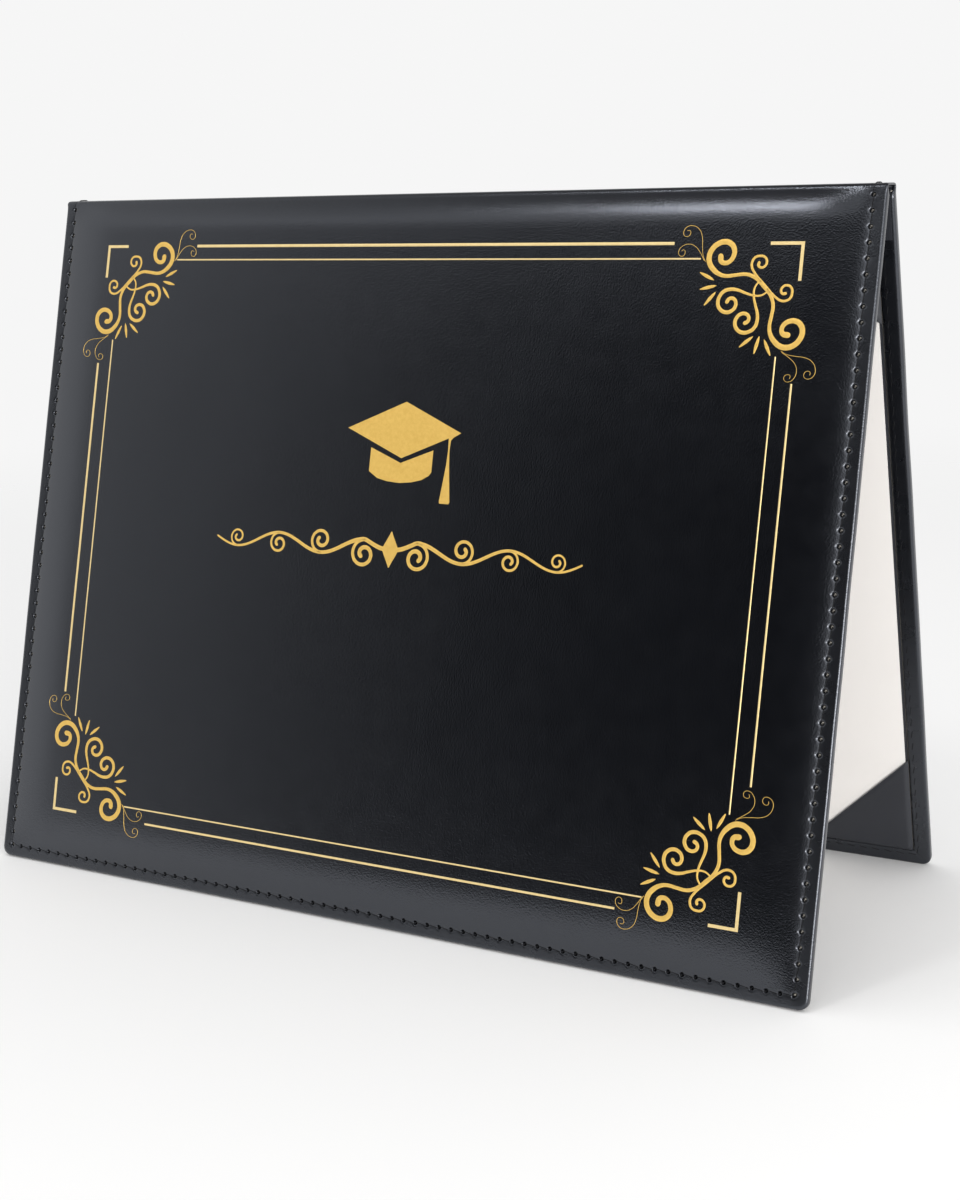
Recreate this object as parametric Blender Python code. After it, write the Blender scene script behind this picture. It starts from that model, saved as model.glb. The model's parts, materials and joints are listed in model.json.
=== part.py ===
"""Padded graduation certificate cover for an 11 x 8.5 in sheet, standing as a tent.

Two covers lean against each other under a narrow spine. Each cover is a board with a foam pad
on its outside, wrapped in a leatherette skin that is turned in and sewn round three edges. The
back cover holds the certificate under four corner pockets. The front cover carries a gold foil
stamp. Both covers turn about a fold at the spine's edge.

World frame: X across, -Y towards the front, Z up, origin on the floor under the spine.
A cover is described by three distances: across from its middle, down from the ridge line,
and out from the plane of its sewn edge.
"""

import math

import bmesh
import bpy
from mathutils import Matrix, Vector

# Certificate, whose size sets the covers' size, and its play inside the borders
CERTIFICATE_WIDTH = 0.2794
CERTIFICATE_HEIGHT = 0.2159
CERTIFICATE_THICKNESS = 0.00025
CERTIFICATE_PLAY = 0.00065

# Covers and spine
LEAN = math.radians(15)
RIDGE_THICKNESS = 0.0079
SKIN_THICKNESS = 0.0005
BOARD_THICKNESS = 0.0013
CLEARANCE = 0.0003
CORNER_RADIUS = 0.0030
BOARD_SETBACK = 0.0006

# Padding
PAD_RISE = 0.0020
PAD_ROLL = 0.0180
RIDGE_ROLL = 0.0100
CROWN_POWER = 2.2
CROWN_STEPS = (0.06, 0.14, 0.28, 0.5, 0.75, 1.0)
PAD_FIRST_STEP = 1

# Seam and turned-in border
SEAM_INSET = 0.0038
SEAM_CORNER = 0.0012
THREAD_RADIUS = 0.00022
BORDER_WIDTH = 0.0054
BOBBIN_START = 0.0030

# Linings, hinge strip and pockets
LINING_THICKNESS = 0.0004
STRIP_THICKNESS = 0.0005
STRIP_REACH = 0.0156
POCKET_LEG = 0.0350
POCKET_THICKNESS = 0.0004
POCKET_WALL = 0.00035

# Foil stamp
FILM_THICKNESS = 0.0001
FILM_GAP = 0.0001
STROKE_STAGGER = 0.000005
FRAME_INSET_SIDE = 0.0219
FRAME_INSET_TOP = 0.01645
FRAME_INSET_BOTTOM = 0.01925
INNER_LINE_STEP_ACROSS = 0.00545
INNER_LINE_STEP_DOWN = 0.00455
OUTER_LINE_WIDTH = 0.0008
INNER_LINE_WIDTH = 0.0005
OUTER_LINE_STOP_ACROSS = 0.0382
OUTER_LINE_STOP_DOWN = 0.0400
INNER_LINE_STOP_ACROSS = 0.0302
INNER_LINE_STOP_DOWN = 0.0322
BRACKET_ARM_ACROSS = 0.0100
BRACKET_ARM_DOWN = 0.0112
BRACKET_WIDTH = 0.00095
SCROLL_OFFSET = 0.00090
CAP_DROP = 0.0743
FLOURISH_DROP = 0.1118
FLOURISH_LENGTH = 0.1320

# Corner scroll, in units from its corner: points along each stroke and its width there.
# The strokes are one half of the motif, whose other half is its mirror image in the diagonal.
SCROLL_UNIT = 0.001
STEM_SCROLL = [
    (25.5, 3.3, 1.9), (25.2, 4.7, 1.7), (24.0, 5.2, 1.5), (22.5, 4.6, 1.5), (21.6, 3.1, 1.6),
    (21.6, 1.2, 1.7), (22.7, -0.3, 1.8), (24.6, -0.9, 1.8), (26.7, -0.3, 1.8), (28.3, 1.2, 1.8),
    (29.0, 3.1, 1.8), (28.7, 5.2, 1.8), (27.3, 7.1, 1.7), (25.4, 8.4, 1.4), (23.3, 8.9, 1.2),
    (20.2, 8.6, 1.15), (17.3, 8.4, 1.15), (15.0, 9.1, 1.2), (13.5, 10.0, 1.35), (11.7, 11.7, 1.5),
]
OUTER_CURL = [
    (13.8, 5.1, 1.0), (13.9, 5.9, 0.9), (13.0, 6.5, 0.8), (12.0, 6.1, 0.8), (11.5, 5.0, 0.8),
    (12.1, 3.6, 0.8), (13.7, 3.2, 0.8), (15.2, 3.7, 0.8), (15.9, 5.0, 0.8), (15.8, 6.4, 0.8),
    (14.9, 7.9, 0.8), (13.8, 9.3, 0.9), (12.7, 10.4, 1.0),
]
INNER_CURL = [
    (22.3, 16.3, 1.3), (21.8, 15.5, 1.2), (20.6, 15.3, 1.15), (19.7, 16.2, 1.15), (19.7, 17.7, 1.2),
    (20.6, 18.8, 1.2), (22.3, 19.3, 1.25), (24.2, 18.4, 1.25), (25.0, 16.8, 1.25), (24.7, 14.8, 1.2),
    (23.5, 13.3, 1.2), (21.5, 12.7, 1.15), (19.4, 12.9, 1.0), (17.1, 13.7, 0.85), (14.6, 14.4, 0.7),
    (12.3, 14.4, 0.6), (10.6, 13.4, 0.55),
]

# Mortarboard, in units from the middle of its board: across, then down
CAP_UNIT = 0.001
CAP_BOARD = [
    (-20.4, 0.0), (0.1, -8.9), (20.5, 0.1), (19.5, 0.7), (18.1, 1.5), (17.3, 2.5), (17.3, 5.7),
    (17.6, 10.2), (18.7, 21.4), (18.4, 22.0), (15.2, 22.0), (15.0, 21.4), (16.3, 10.2),
    (16.5, 5.7), (16.35, 1.85), (0.1, 8.7),
]
CAP_CROWN = [
    (-11.2, 5.8), (0.0, 10.2), (11.3, 5.8), (11.3, 12.6), (10.5, 13.7), (8.1, 15.1), (4.6, 16.0),
    (0.1, 16.45), (-4.4, 16.1), (-8.0, 15.3), (-11.2, 13.3),
]

# Flourish under the mortarboard: a vine with a curl in each bend, mirrored left and right
VINE_START = 0.0015
VINE_BENDS = 4
VINE_SWAY = 0.0026
VINE_WIDTH = 0.0014
VINE_TIP_WIDTH = 0.0006
VINE_STEPS_PER_BEND = 8
CURL_RADIUS = 0.0046
CURL_SHRINK = 0.86
CURL_TURNS = 1.35
CURL_TIGHTENING = 0.74
CURL_ROOT_WIDTH = 0.75
CURL_END_WIDTH = 1.1
CURL_STEPS = 14
LOZENGE_HALF_WIDTH = 0.0030
LOZENGE_HALF_HEIGHT = 0.0056
LOZENGE_POINT = 0.0003

# Finishes: colour, roughness, metallic
FINISHES = {
    "leatherette": ((0.012, 0.013, 0.016), 0.38, 0.0),
    "lining_leatherette": ((0.022, 0.024, 0.030), 0.50, 0.0),
    "thread": ((0.010, 0.011, 0.013), 0.60, 0.0),
    "foam": ((0.75, 0.75, 0.72), 0.90, 0.0),
    "greyboard": ((0.33, 0.31, 0.28), 0.85, 0.0),
    "certificate_card": ((0.86, 0.84, 0.82), 0.65, 0.0),
    "gold_foil": ((0.80, 0.58, 0.24), 0.32, 1.0),
}

ARC_STEPS = 5
FOLD_STEPS = 6

# Corners of a cover, seen from the side that faces the reader: name, side and level
CORNERS = (("top_left", -1, -1), ("top_right", 1, -1), ("bottom_left", -1, 1), ("bottom_right", 1, 1))

# Sizes that follow from the ones above
LINING_INSET = BORDER_WIDTH + CLEARANCE
COVER_WIDTH = CERTIFICATE_WIDTH + 2 * (LINING_INSET + CERTIFICATE_PLAY)
COVER_HEIGHT = CERTIFICATE_HEIGHT + 2 * (LINING_INSET + CERTIFICATE_PLAY)
HALF_WIDTH = COVER_WIDTH / 2
EDGE_ROLL = SKIN_THICKNESS + CLEARANCE
INNER_FACE = EDGE_ROLL + BOARD_THICKNESS + CLEARANCE + SKIN_THICKNESS
FOLD_DEPTH = EDGE_ROLL + BOARD_THICKNESS / 2
FOLD_DROP = FOLD_DEPTH * math.tan((math.pi / 2 - LEAN) / 2)
SPINE_WIDTH = RIDGE_THICKNESS - 2 * FOLD_DROP
SKIN_TOP = FOLD_DROP + CLEARANCE / 2
BOARD_TOP = FOLD_DROP + BOARD_SETBACK
LAYER_FLOOR = EDGE_ROLL + BOARD_THICKNESS + CLEARANCE
FRAME_WIDTH = COVER_WIDTH - 2 * FRAME_INSET_SIDE
FRAME_HEIGHT = COVER_HEIGHT - FRAME_INSET_TOP - FRAME_INSET_BOTTOM
FRAME_MIDDLE = FRAME_INSET_TOP + FRAME_HEIGHT / 2


def finish(name):
    """A plain material for one of the finishes."""
    colour, roughness, metallic = FINISHES[name]
    material = bpy.data.materials.get(name) or bpy.data.materials.new(name)
    material.use_nodes = True
    shader = material.node_tree.nodes["Principled BSDF"]
    shader.inputs["Base Color"].default_value = (*colour, 1.0)
    shader.inputs["Roughness"].default_value = roughness
    shader.inputs["Metallic"].default_value = metallic
    material.diffuse_color = (*colour, 1.0)
    return material


def guide(name, location, rotation):
    """An empty on a fold's axis, which carries one cover or the spine."""
    empty = bpy.data.objects.new(name, None)
    empty.location = location
    empty.rotation_euler = rotation
    bpy.context.scene.collection.objects.link(empty)
    return empty


def piece(name, data, parent, finish_name):
    """One named part, placed by the guide that carries it."""
    obj = bpy.data.objects.new(name, data)
    data.materials.append(finish(finish_name))
    obj.parent = parent
    bpy.context.scene.collection.objects.link(obj)
    return obj


def on_cover(across, down, out):
    """A point of a cover, measured from its fold's axis."""
    return Vector((across, -(out + FOLD_DEPTH), FOLD_DROP - down))


def mesh_from(bm, name):
    """The finished mesh of a closed shape, with its faces pointing out."""
    bmesh.ops.recalc_face_normals(bm, faces=bm.faces)
    mesh = bpy.data.meshes.new(name)
    bm.to_mesh(mesh)
    bm.free()
    return mesh


def prism(name, outline, along):
    """A flat outline pushed along a vector."""
    bm = bmesh.new()
    face = bm.faces.new([bm.verts.new(p) for p in outline])
    pushed = bmesh.ops.extrude_face_region(bm, geom=[face])
    moved = [v for v in pushed["geom"] if isinstance(v, bmesh.types.BMVert)]
    bmesh.ops.translate(bm, verts=moved, vec=along)
    return mesh_from(bm, name)


def sheet(name, outline, low, high):
    """A flat sheet on a cover, from an outline of (across, down) points."""
    along = on_cover(0, 0, high) - on_cover(0, 0, low)
    return prism(name, [on_cover(a, d, low) for a, d in outline], along)


def rectangle(left, right, top, bottom):
    return [(left, top), (left, bottom), (right, bottom), (right, top)]


def bottom_corner(side, inset, radius):
    """The rounded bottom corner of a line that runs inset from the cover's edge."""
    centre_across = HALF_WIDTH - inset - radius
    centre_down = COVER_HEIGHT - inset - radius
    points = []
    for step in range(ARC_STEPS + 1):
        angle = math.pi / 2 * step / ARC_STEPS
        across = centre_across + radius * math.cos(angle)
        points.append((side * across, centre_down + radius * math.sin(angle)))
    return points


def edge_line(inset, top, radius):
    """The line that runs inset from the left, bottom and right edges, from the ridge and back to it."""
    reach = HALF_WIDTH - inset
    row = STRIP_REACH + CLEARANCE
    left = bottom_corner(-1, inset, radius)
    right = bottom_corner(1, inset, radius)[::-1]
    return [(-reach, top), (-reach, row)] + left + right + [(reach, row), (reach, top)]


def crown(step):
    """Height of the padding at a share of the way in from the seam."""
    return PAD_RISE * (1 - (1 - step) ** CROWN_POWER)


def crown_line(step):
    """The line on the padding at a share of the way in from the seam, and its radius."""
    radius = SEAM_CORNER + step * PAD_ROLL / 2
    top = SKIN_TOP + CLEARANCE + step * RIDGE_ROLL
    return edge_line(SEAM_INSET + step * PAD_ROLL, top, radius)


def wrap_profile():
    """The skin's way round the board's edge: inset, depth and corner radius of each line."""
    roll = EDGE_ROLL * (1 - math.sqrt(0.5))
    back = INNER_FACE - EDGE_ROLL
    return [
        (roll, roll, CORNER_RADIUS - roll),
        (0.0, EDGE_ROLL, CORNER_RADIUS),
        (0.0, back, CORNER_RADIUS),
        (roll, INNER_FACE - roll, CORNER_RADIUS - roll),
        (EDGE_ROLL, INNER_FACE, CORNER_RADIUS - EDGE_ROLL),
    ]


def add_line(bm, line, out):
    return [bm.verts.new(on_cover(a, d, out)) for a, d in line]


def join_lines(bm, first, second, closed, skip=0):
    """Faces between two lines with as many points each."""
    count = len(first)
    last = count if closed else count - 1 - skip
    for i in range(skip, last):
        j = (i + 1) % count
        bm.faces.new((first[i], first[j], second[j], second[i]))


def cover_skin(name, parent):
    """The skin of one cover: crowned face, rounded edge and turned-in border."""
    bm = bmesh.new()
    edge = add_line(bm, edge_line(EDGE_ROLL, SKIN_TOP, CORNER_RADIUS - EDGE_ROLL), 0)
    line = add_line(bm, edge_line(SEAM_INSET, SKIN_TOP + CLEARANCE, SEAM_CORNER), 0)
    join_lines(bm, edge, line, closed=True)
    for step in CROWN_STEPS:
        inner = add_line(bm, crown_line(step), crown(step))
        join_lines(bm, line, inner, closed=True)
        line = inner
    bm.faces.new(line)
    for inset, depth, radius in wrap_profile():
        outer = add_line(bm, edge_line(inset, SKIN_TOP, radius), -depth)
        join_lines(bm, outer, edge, closed=False)
        edge = outer
    border = add_line(bm, edge_line(BORDER_WIDTH, SKIN_TOP, SEAM_CORNER), -INNER_FACE)
    join_lines(bm, border, edge, closed=False, skip=1)
    for end in (border[0], border[-1]):
        bm.verts.remove(end)
    mesh = mesh_from(bm, name)
    if mesh.polygons[0].normal.y > 0:
        mesh.flip_normals()
    skin = piece(name, mesh, parent, "leatherette")
    wall = skin.modifiers.new("skin_thickness", "SOLIDIFY")
    wall.thickness = SKIN_THICKNESS
    wall.offset = -1
    wall.use_even_offset = True
    return skin


def cover_pad(name, parent):
    """The foam pad between board and skin."""
    bm = bmesh.new()
    below = SKIN_THICKNESS + CLEARANCE
    steps = CROWN_STEPS[PAD_FIRST_STEP:]
    line = add_line(bm, crown_line(steps[0]), CLEARANCE - below)
    bm.faces.new(line)
    for step in steps:
        inner = add_line(bm, crown_line(step), crown(step) - below)
        join_lines(bm, line, inner, closed=True)
        line = inner
    bm.faces.new(line)
    return piece(name, mesh_from(bm, name), parent, "foam")


def seam(name, parent, inset, out, start):
    """A run of thread round the left, bottom and right edges."""
    line = edge_line(inset, start, SEAM_CORNER)
    if start > STRIP_REACH:
        line = line[:1] + line[2:-2] + line[-1:]
    return thread(name, parent, [on_cover(a, d, out) for a, d in line])


def thread(name, parent, points):
    """A run of thread through some points."""
    curve = bpy.data.curves.new(name, "CURVE")
    curve.dimensions = "3D"
    curve.bevel_depth = THREAD_RADIUS
    curve.bevel_resolution = 1
    curve.use_fill_caps = True
    spline = curve.splines.new("POLY")
    spline.points.add(len(points) - 1)
    for target, point in zip(spline.points, points):
        target.co = (*point, 1.0)
    return piece(name, curve, parent, "thread")


def hinge_strip_leg(name, parent):
    """The hinge strip's leg on a cover: shallow over the lining, deep on the turned-in border."""
    outer = HALF_WIDTH - EDGE_ROLL - CLEARANCE
    inner = HALF_WIDTH - BORDER_WIDTH
    top = BOARD_TOP
    outline = [
        (-outer, top), (-outer, STRIP_REACH), (-inner, STRIP_REACH), (-inner, BORDER_WIDTH),
        (inner, BORDER_WIDTH), (inner, STRIP_REACH), (outer, STRIP_REACH), (outer, top),
    ]
    mesh = sheet(name, outline, -(LAYER_FLOOR + STRIP_THICKNESS), -LAYER_FLOOR)
    return piece(name, mesh, parent, "lining_leatherette")


def cover(side, parent):
    """The pieces that both covers have."""
    cover_skin(f"{side}_skin", parent)
    cover_pad(f"{side}_pad", parent)
    board = edge_line(EDGE_ROLL, BOARD_TOP, CORNER_RADIUS - EDGE_ROLL)
    mesh = sheet(f"{side}_board", board, -(EDGE_ROLL + BOARD_THICKNESS), -EDGE_ROLL)
    piece(f"{side}_board", mesh, parent, "greyboard")
    reach = HALF_WIDTH - LINING_INSET
    lining = rectangle(-reach, reach, LINING_INSET, COVER_HEIGHT - LINING_INSET)
    mesh = sheet(f"{side}_lining", lining, -(LAYER_FLOOR + LINING_THICKNESS), -LAYER_FLOOR)
    piece(f"{side}_lining", mesh, parent, "lining_leatherette")
    hinge_strip_leg(f"{side}_hinge_strip", parent)
    rise = CLEARANCE + THREAD_RADIUS
    seam(f"{side}_needle_thread", parent, SEAM_INSET - THREAD_RADIUS, rise, SKIN_TOP + CLEARANCE)
    bobbin_start = STRIP_REACH + BOBBIN_START
    seam(f"{side}_bobbin_thread", parent, SEAM_INSET, -(INNER_FACE + rise), bobbin_start)


def certificate(parent):
    """The sheet, lying on the back lining and centred in its opening."""
    half = CERTIFICATE_WIDTH / 2
    upper = LINING_INSET + CERTIFICATE_PLAY
    outline = rectangle(-half, half, upper, upper + CERTIFICATE_HEIGHT)
    top = LAYER_FLOOR + LINING_THICKNESS + CLEARANCE
    mesh = sheet("certificate_sheet", outline, -(top + CERTIFICATE_THICKNESS), -top)
    piece("certificate_sheet", mesh, parent, "certificate_card")


def corner_pocket(name, parent, side, level):
    """A triangular pocket: a plate over the certificate's corner, on walls along its two legs."""
    reach = HALF_WIDTH - LINING_INSET
    down = COVER_HEIGHT / 2 + level * (COVER_HEIGHT / 2 - LINING_INSET)
    foot = LAYER_FLOOR + LINING_THICKNESS + CLEARANCE
    roof = foot + CERTIFICATE_THICKNESS + CLEARANCE
    face = roof + POCKET_THICKNESS

    def corner_at(inset_across, inset_down, depth):
        return bm.verts.new(on_cover(side * (reach - inset_across), down - level * inset_down, -depth))

    bm = bmesh.new()
    wall, leg = POCKET_WALL, POCKET_LEG
    outer = [(0, 0), (0, leg), (leg, 0)]
    inner = [(wall, wall), (wall, leg - wall), (leg - wall, wall)]
    a, b, c = [corner_at(*p, face) for p in outer]
    a_foot, b_foot, c_foot = [corner_at(*p, foot) for p in outer]
    d_foot, e_foot, f_foot = [corner_at(*p, foot) for p in inner]
    d, e, f = [corner_at(*p, roof) for p in inner]
    for corners in (
        (a, b, c),
        (a, b, b_foot, a_foot),
        (a, c, c_foot, a_foot),
        (a_foot, b_foot, e_foot, d_foot),
        (a_foot, c_foot, f_foot, d_foot),
        (d, e, e_foot, d_foot),
        (d, f, f_foot, d_foot),
        (d, e, f),
        (b, c, c_foot, f_foot, f, e, e_foot, b_foot),
    ):
        bm.faces.new(corners)
    piece(name, mesh_from(bm, name), parent, "lining_leatherette")


def ribbon_points(stroke):
    """The two sides of a stroke given as (across, down, width) points."""
    left, right = [], []
    for i, (x, y, width) in enumerate(stroke):
        before = Vector(stroke[max(i - 1, 0)][:2])
        after = Vector(stroke[min(i + 1, len(stroke) - 1)][:2])
        direction = (after - before).normalized()
        offset = Vector((-direction.y, direction.x)) * width / 2
        left.append(Vector((x, y)) + offset)
        right.append(Vector((x, y)) - offset)
    return left, right


def ribbon(name, stroke, order):
    """A stroke of foil as a flat closed strip. Order keeps the faces of crossing strokes apart."""
    low = PAD_RISE + FILM_GAP + STROKE_STAGGER * order
    high = low + FILM_THICKNESS
    left, right = ribbon_points(stroke)
    bm = bmesh.new()
    rows = []
    for p, q in zip(left, right):
        around = ((*p, low), (*q, low), (*q, high), (*p, high))
        rows.append([bm.verts.new(corner) for corner in around])
    for first, second in zip(rows, rows[1:]):
        join_lines(bm, first, second, closed=True)
    bm.faces.new(rows[0])
    bm.faces.new(rows[-1])
    return mesh_from(bm, name)


def united(name, meshes):
    """One mesh made of several crossing ones."""
    objects = [bpy.data.objects.new(f"{name}_stroke", mesh) for mesh in meshes]
    for obj in objects:
        obj.hide_render = True
        obj.display_type = "WIRE"
        bpy.context.scene.collection.objects.link(obj)
    base = objects[0]
    for other in objects[1:]:
        join = base.modifiers.new("join", "BOOLEAN")
        join.operation = "UNION"
        join.object = other
    bpy.context.view_layer.update()
    depsgraph = bpy.context.evaluated_depsgraph_get()
    mesh = bpy.data.meshes.new_from_object(base.evaluated_get(depsgraph))
    for obj in objects:
        bpy.data.objects.remove(obj)
    return mesh


def in_metres(stroke):
    return [(x * SCROLL_UNIT, y * SCROLL_UNIT, width * SCROLL_UNIT) for x, y, width in stroke]


def swapped(stroke):
    return [(y, x, width) for x, y, width in stroke]


def scroll_motif():
    """The corner scroll in its own corner: x is the distance across from it, y down from it."""
    stem = in_metres(STEM_SCROLL)
    whole_stem = stem + swapped(stem[:-1])[::-1]
    strokes = [whole_stem]
    for curl in (in_metres(OUTER_CURL), in_metres(INNER_CURL)):
        strokes += [curl, swapped(curl)]
    return united("scroll", [ribbon("scroll", s, order) for order, s in enumerate(strokes)])


def vine_side(bend):
    return 1 if bend % 2 == 0 else -1


def vine_strokes():
    """Half of the flourish: a swaying stem, and a curl that leaves it at each bend."""
    half = FLOURISH_LENGTH / 2
    pitch = (half - VINE_START) / VINE_BENDS
    steps = VINE_BENDS * VINE_STEPS_PER_BEND
    stem = []
    for i in range(steps + 1):
        along = i / VINE_STEPS_PER_BEND
        sway = -VINE_SWAY * math.cos(math.pi * (along - 0.5)) * min(1, 2 * along)
        width = VINE_WIDTH + (VINE_TIP_WIDTH - VINE_WIDTH) * i / steps
        stem.append((VINE_START + along * pitch, sway, width))
    strokes = [stem]
    for bend in range(VINE_BENDS):
        side = vine_side(bend)
        radius = CURL_RADIUS * CURL_SHRINK**bend
        start = stem[round((bend + 0.5) * VINE_STEPS_PER_BEND)]
        curl = []
        for i in range(CURL_STEPS + 1):
            share = i / CURL_STEPS
            angle = 2 * math.pi * CURL_TURNS * share
            reach = radius * (1 - CURL_TIGHTENING * share)
            x = start[0] + reach * math.sin(angle)
            y = start[1] + side * (radius - reach * math.cos(angle))
            growth = CURL_ROOT_WIDTH + (CURL_END_WIDTH - CURL_ROOT_WIDTH) * share
            curl.append((x, y, start[2] * growth))
        strokes.append(curl)
    return strokes


def flourish_motif():
    strokes = vine_strokes()
    other_half = [[(-x, y, width) for x, y, width in s] for s in strokes]
    middle = [
        (0, -LOZENGE_HALF_HEIGHT, LOZENGE_POINT),
        (0, 0, 2 * LOZENGE_HALF_WIDTH),
        (0, LOZENGE_HALF_HEIGHT, LOZENGE_POINT),
    ]
    every = [middle] + strokes + other_half
    return united("flourish", [ribbon("flourish", s, order) for order, s in enumerate(every)])


def stamped(name, motif, parent, across, down, flip_across=1, flip_down=1):
    """A copy of a motif on the front cover, flipped to suit its place."""
    mesh = motif.copy()
    mesh.transform(Matrix((
        (flip_across, 0, 0, across),
        (0, 0, -1, -FOLD_DEPTH),
        (0, -flip_down, 0, FOLD_DROP - down),
        (0, 0, 0, 1),
    )))
    bm = bmesh.new()
    bm.from_mesh(mesh)
    bmesh.ops.recalc_face_normals(bm, faces=bm.faces)
    bm.to_mesh(mesh)
    bm.free()
    mesh.materials.clear()
    piece(name, mesh, parent, "gold_foil")


def foil_sheet(name, parent, outline):
    low = PAD_RISE + FILM_GAP
    piece(name, sheet(name, outline, low, low + FILM_THICKNESS), parent, "gold_foil")


def foil_lines(parent, kind, half_width, half_height, line_width, stop_across, stop_down):
    """The four lines of one frame, which stop short of its corners."""
    half_line = line_width / 2
    run = half_width - stop_across
    rise = half_height - stop_down
    for place, sign in (("top", -1), ("bottom", 1)):
        down = FRAME_MIDDLE + sign * half_height
        line = rectangle(-run, run, down - half_line, down + half_line)
        foil_sheet(f"foil_{kind}_line_{place}", parent, line)
    for place, sign in (("left", -1), ("right", 1)):
        across = sign * half_width
        upper, lower = FRAME_MIDDLE - rise, FRAME_MIDDLE + rise
        line = rectangle(across - half_line, across + half_line, upper, lower)
        foil_sheet(f"foil_{kind}_line_{place}", parent, line)


def bracket_outline(side, level):
    """An L at one corner of the outer frame."""
    corner_across = FRAME_WIDTH / 2 + BRACKET_WIDTH / 2
    corner_down = FRAME_HEIGHT / 2 + BRACKET_WIDTH / 2
    shape = [
        (0, 0), (BRACKET_ARM_ACROSS, 0), (BRACKET_ARM_ACROSS, BRACKET_WIDTH),
        (BRACKET_WIDTH, BRACKET_WIDTH), (BRACKET_WIDTH, BRACKET_ARM_DOWN), (0, BRACKET_ARM_DOWN),
    ]
    return [
        (side * (corner_across - across), FRAME_MIDDLE + level * (corner_down - down))
        for across, down in shape
    ]


def cap_outline(points):
    return [(a * CAP_UNIT, CAP_DROP + d * CAP_UNIT) for a, d in points]


def foil_stamp(parent):
    """The gold stamp on the front cover."""
    half_width, half_height = FRAME_WIDTH / 2, FRAME_HEIGHT / 2
    foil_lines(
        parent, "outer", half_width, half_height, OUTER_LINE_WIDTH,
        OUTER_LINE_STOP_ACROSS, OUTER_LINE_STOP_DOWN,
    )
    foil_lines(
        parent, "inner", half_width - INNER_LINE_STEP_ACROSS, half_height - INNER_LINE_STEP_DOWN,
        INNER_LINE_WIDTH, INNER_LINE_STOP_ACROSS - INNER_LINE_STEP_ACROSS,
        INNER_LINE_STOP_DOWN - INNER_LINE_STEP_DOWN,
    )
    motif = scroll_motif()
    for name, side, level in CORNERS:
        foil_sheet(f"foil_bracket_{name}", parent, bracket_outline(side, level))
        across = side * (half_width + SCROLL_OFFSET)
        down = FRAME_MIDDLE + level * (half_height - SCROLL_OFFSET)
        stamped(f"foil_scroll_{name}", motif, parent, across, down, -side, -level)
    foil_sheet("foil_cap_board", parent, cap_outline(CAP_BOARD))
    foil_sheet("foil_cap_crown", parent, cap_outline(CAP_CROWN))
    stamped("foil_flourish", flourish_motif(), parent, 0, FLOURISH_DROP)


def spine(parent):
    """The spine between the folds: outer skin, inner strip and the seam's two short crossings."""
    near, far = CLEARANCE / 2, SPINE_WIDTH - CLEARANCE / 2

    def slab(name, half_width, low, high, finish_name):
        corners = rectangle(-half_width, half_width, near, far)
        outline = [(x, y, low) for x, y in corners]
        piece(name, prism(name, outline, Vector((0, 0, high - low))), parent, finish_name)

    under_skin = FOLD_DEPTH - SKIN_THICKNESS
    strip_top = under_skin - CLEARANCE
    slab("spine_skin", HALF_WIDTH, under_skin, FOLD_DEPTH, "leatherette")
    strip_reach = HALF_WIDTH - EDGE_ROLL - CLEARANCE
    slab("spine_hinge_strip", strip_reach, strip_top - STRIP_THICKNESS, strip_top, "lining_leatherette")
    height = FOLD_DEPTH + CLEARANCE + THREAD_RADIUS
    for name, side in (("left", -1), ("right", 1)):
        across = side * (HALF_WIDTH - SEAM_INSET + THREAD_RADIUS)
        thread(f"spine_thread_{name}", parent, [(across, near, height), (across, far, height)])


def fold_skin(name, parent, centre, first, last):
    """The bend of the outer skin at one fold, an arc about the fold's axis."""
    gap = CLEARANCE / 2 / FOLD_DEPTH
    sign = 1 if last > first else -1
    first, last = first + sign * gap, last - sign * gap
    outer, inner = [], []
    for step in range(FOLD_STEPS + 1):
        angle = first + (last - first) * step / FOLD_STEPS
        for arc, radius in ((outer, FOLD_DEPTH), (inner, FOLD_DEPTH - SKIN_THICKNESS)):
            arc.append((-HALF_WIDTH, centre + radius * math.cos(angle), radius * math.sin(angle)))
    outline = outer + inner[::-1]
    piece(name, prism(name, outline, Vector((COVER_WIDTH, 0, 0))), parent, "leatherette")


def axis_height():
    """Height of the folds above the floor, with the covers standing on their bottom edges."""
    lowest = []
    for inset, depth, _ in wrap_profile():
        point = on_cover(0, COVER_HEIGHT - inset, -depth)
        lowest.append(point.z * math.cos(LEAN) - point.y * math.sin(LEAN))
    return -min(lowest)


def build():
    for obj in list(bpy.data.objects):
        bpy.data.objects.remove(obj)
    height = axis_height()
    front = guide("front_cover_fold", (0, -SPINE_WIDTH / 2, height), (-LEAN, 0, 0))
    ridge = guide("spine_fold", (0, -SPINE_WIDTH / 2, height), (0, 0, 0))
    back = guide("back_cover_fold", (0, SPINE_WIDTH / 2, height), (-LEAN, 0, math.pi))
    cover("front", front)
    foil_stamp(front)
    spine(ridge)
    fold_skin("front_fold_skin", ridge, 0, math.pi / 2, math.pi - LEAN)
    fold_skin("back_fold_skin", ridge, SPINE_WIDTH, math.pi / 2, LEAN)
    cover("back", back)
    certificate(back)
    for name, side, level in CORNERS:
        corner_pocket(f"pocket_{name}", back, -side, level)
    bpy.context.view_layer.update()


build()
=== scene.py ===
"""Looks of a padded graduation certificate cover that stands as a tent.

The outer skin is drawn as it is cut: one blank for each half, from the middle of the spine to
the turned-in border. Its grid is laid round the cover by on_skin(), so padding, seams and foil
follow one surface. Across is the distance from the cover's middle, along is the distance down
the skin from the middle of the spine, and out is the height over its plain face.
"""

import json
import math

import bmesh
import bpy
from mathutils import Euler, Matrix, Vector, noise
from mathutils.bvhtree import BVHTree


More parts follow.
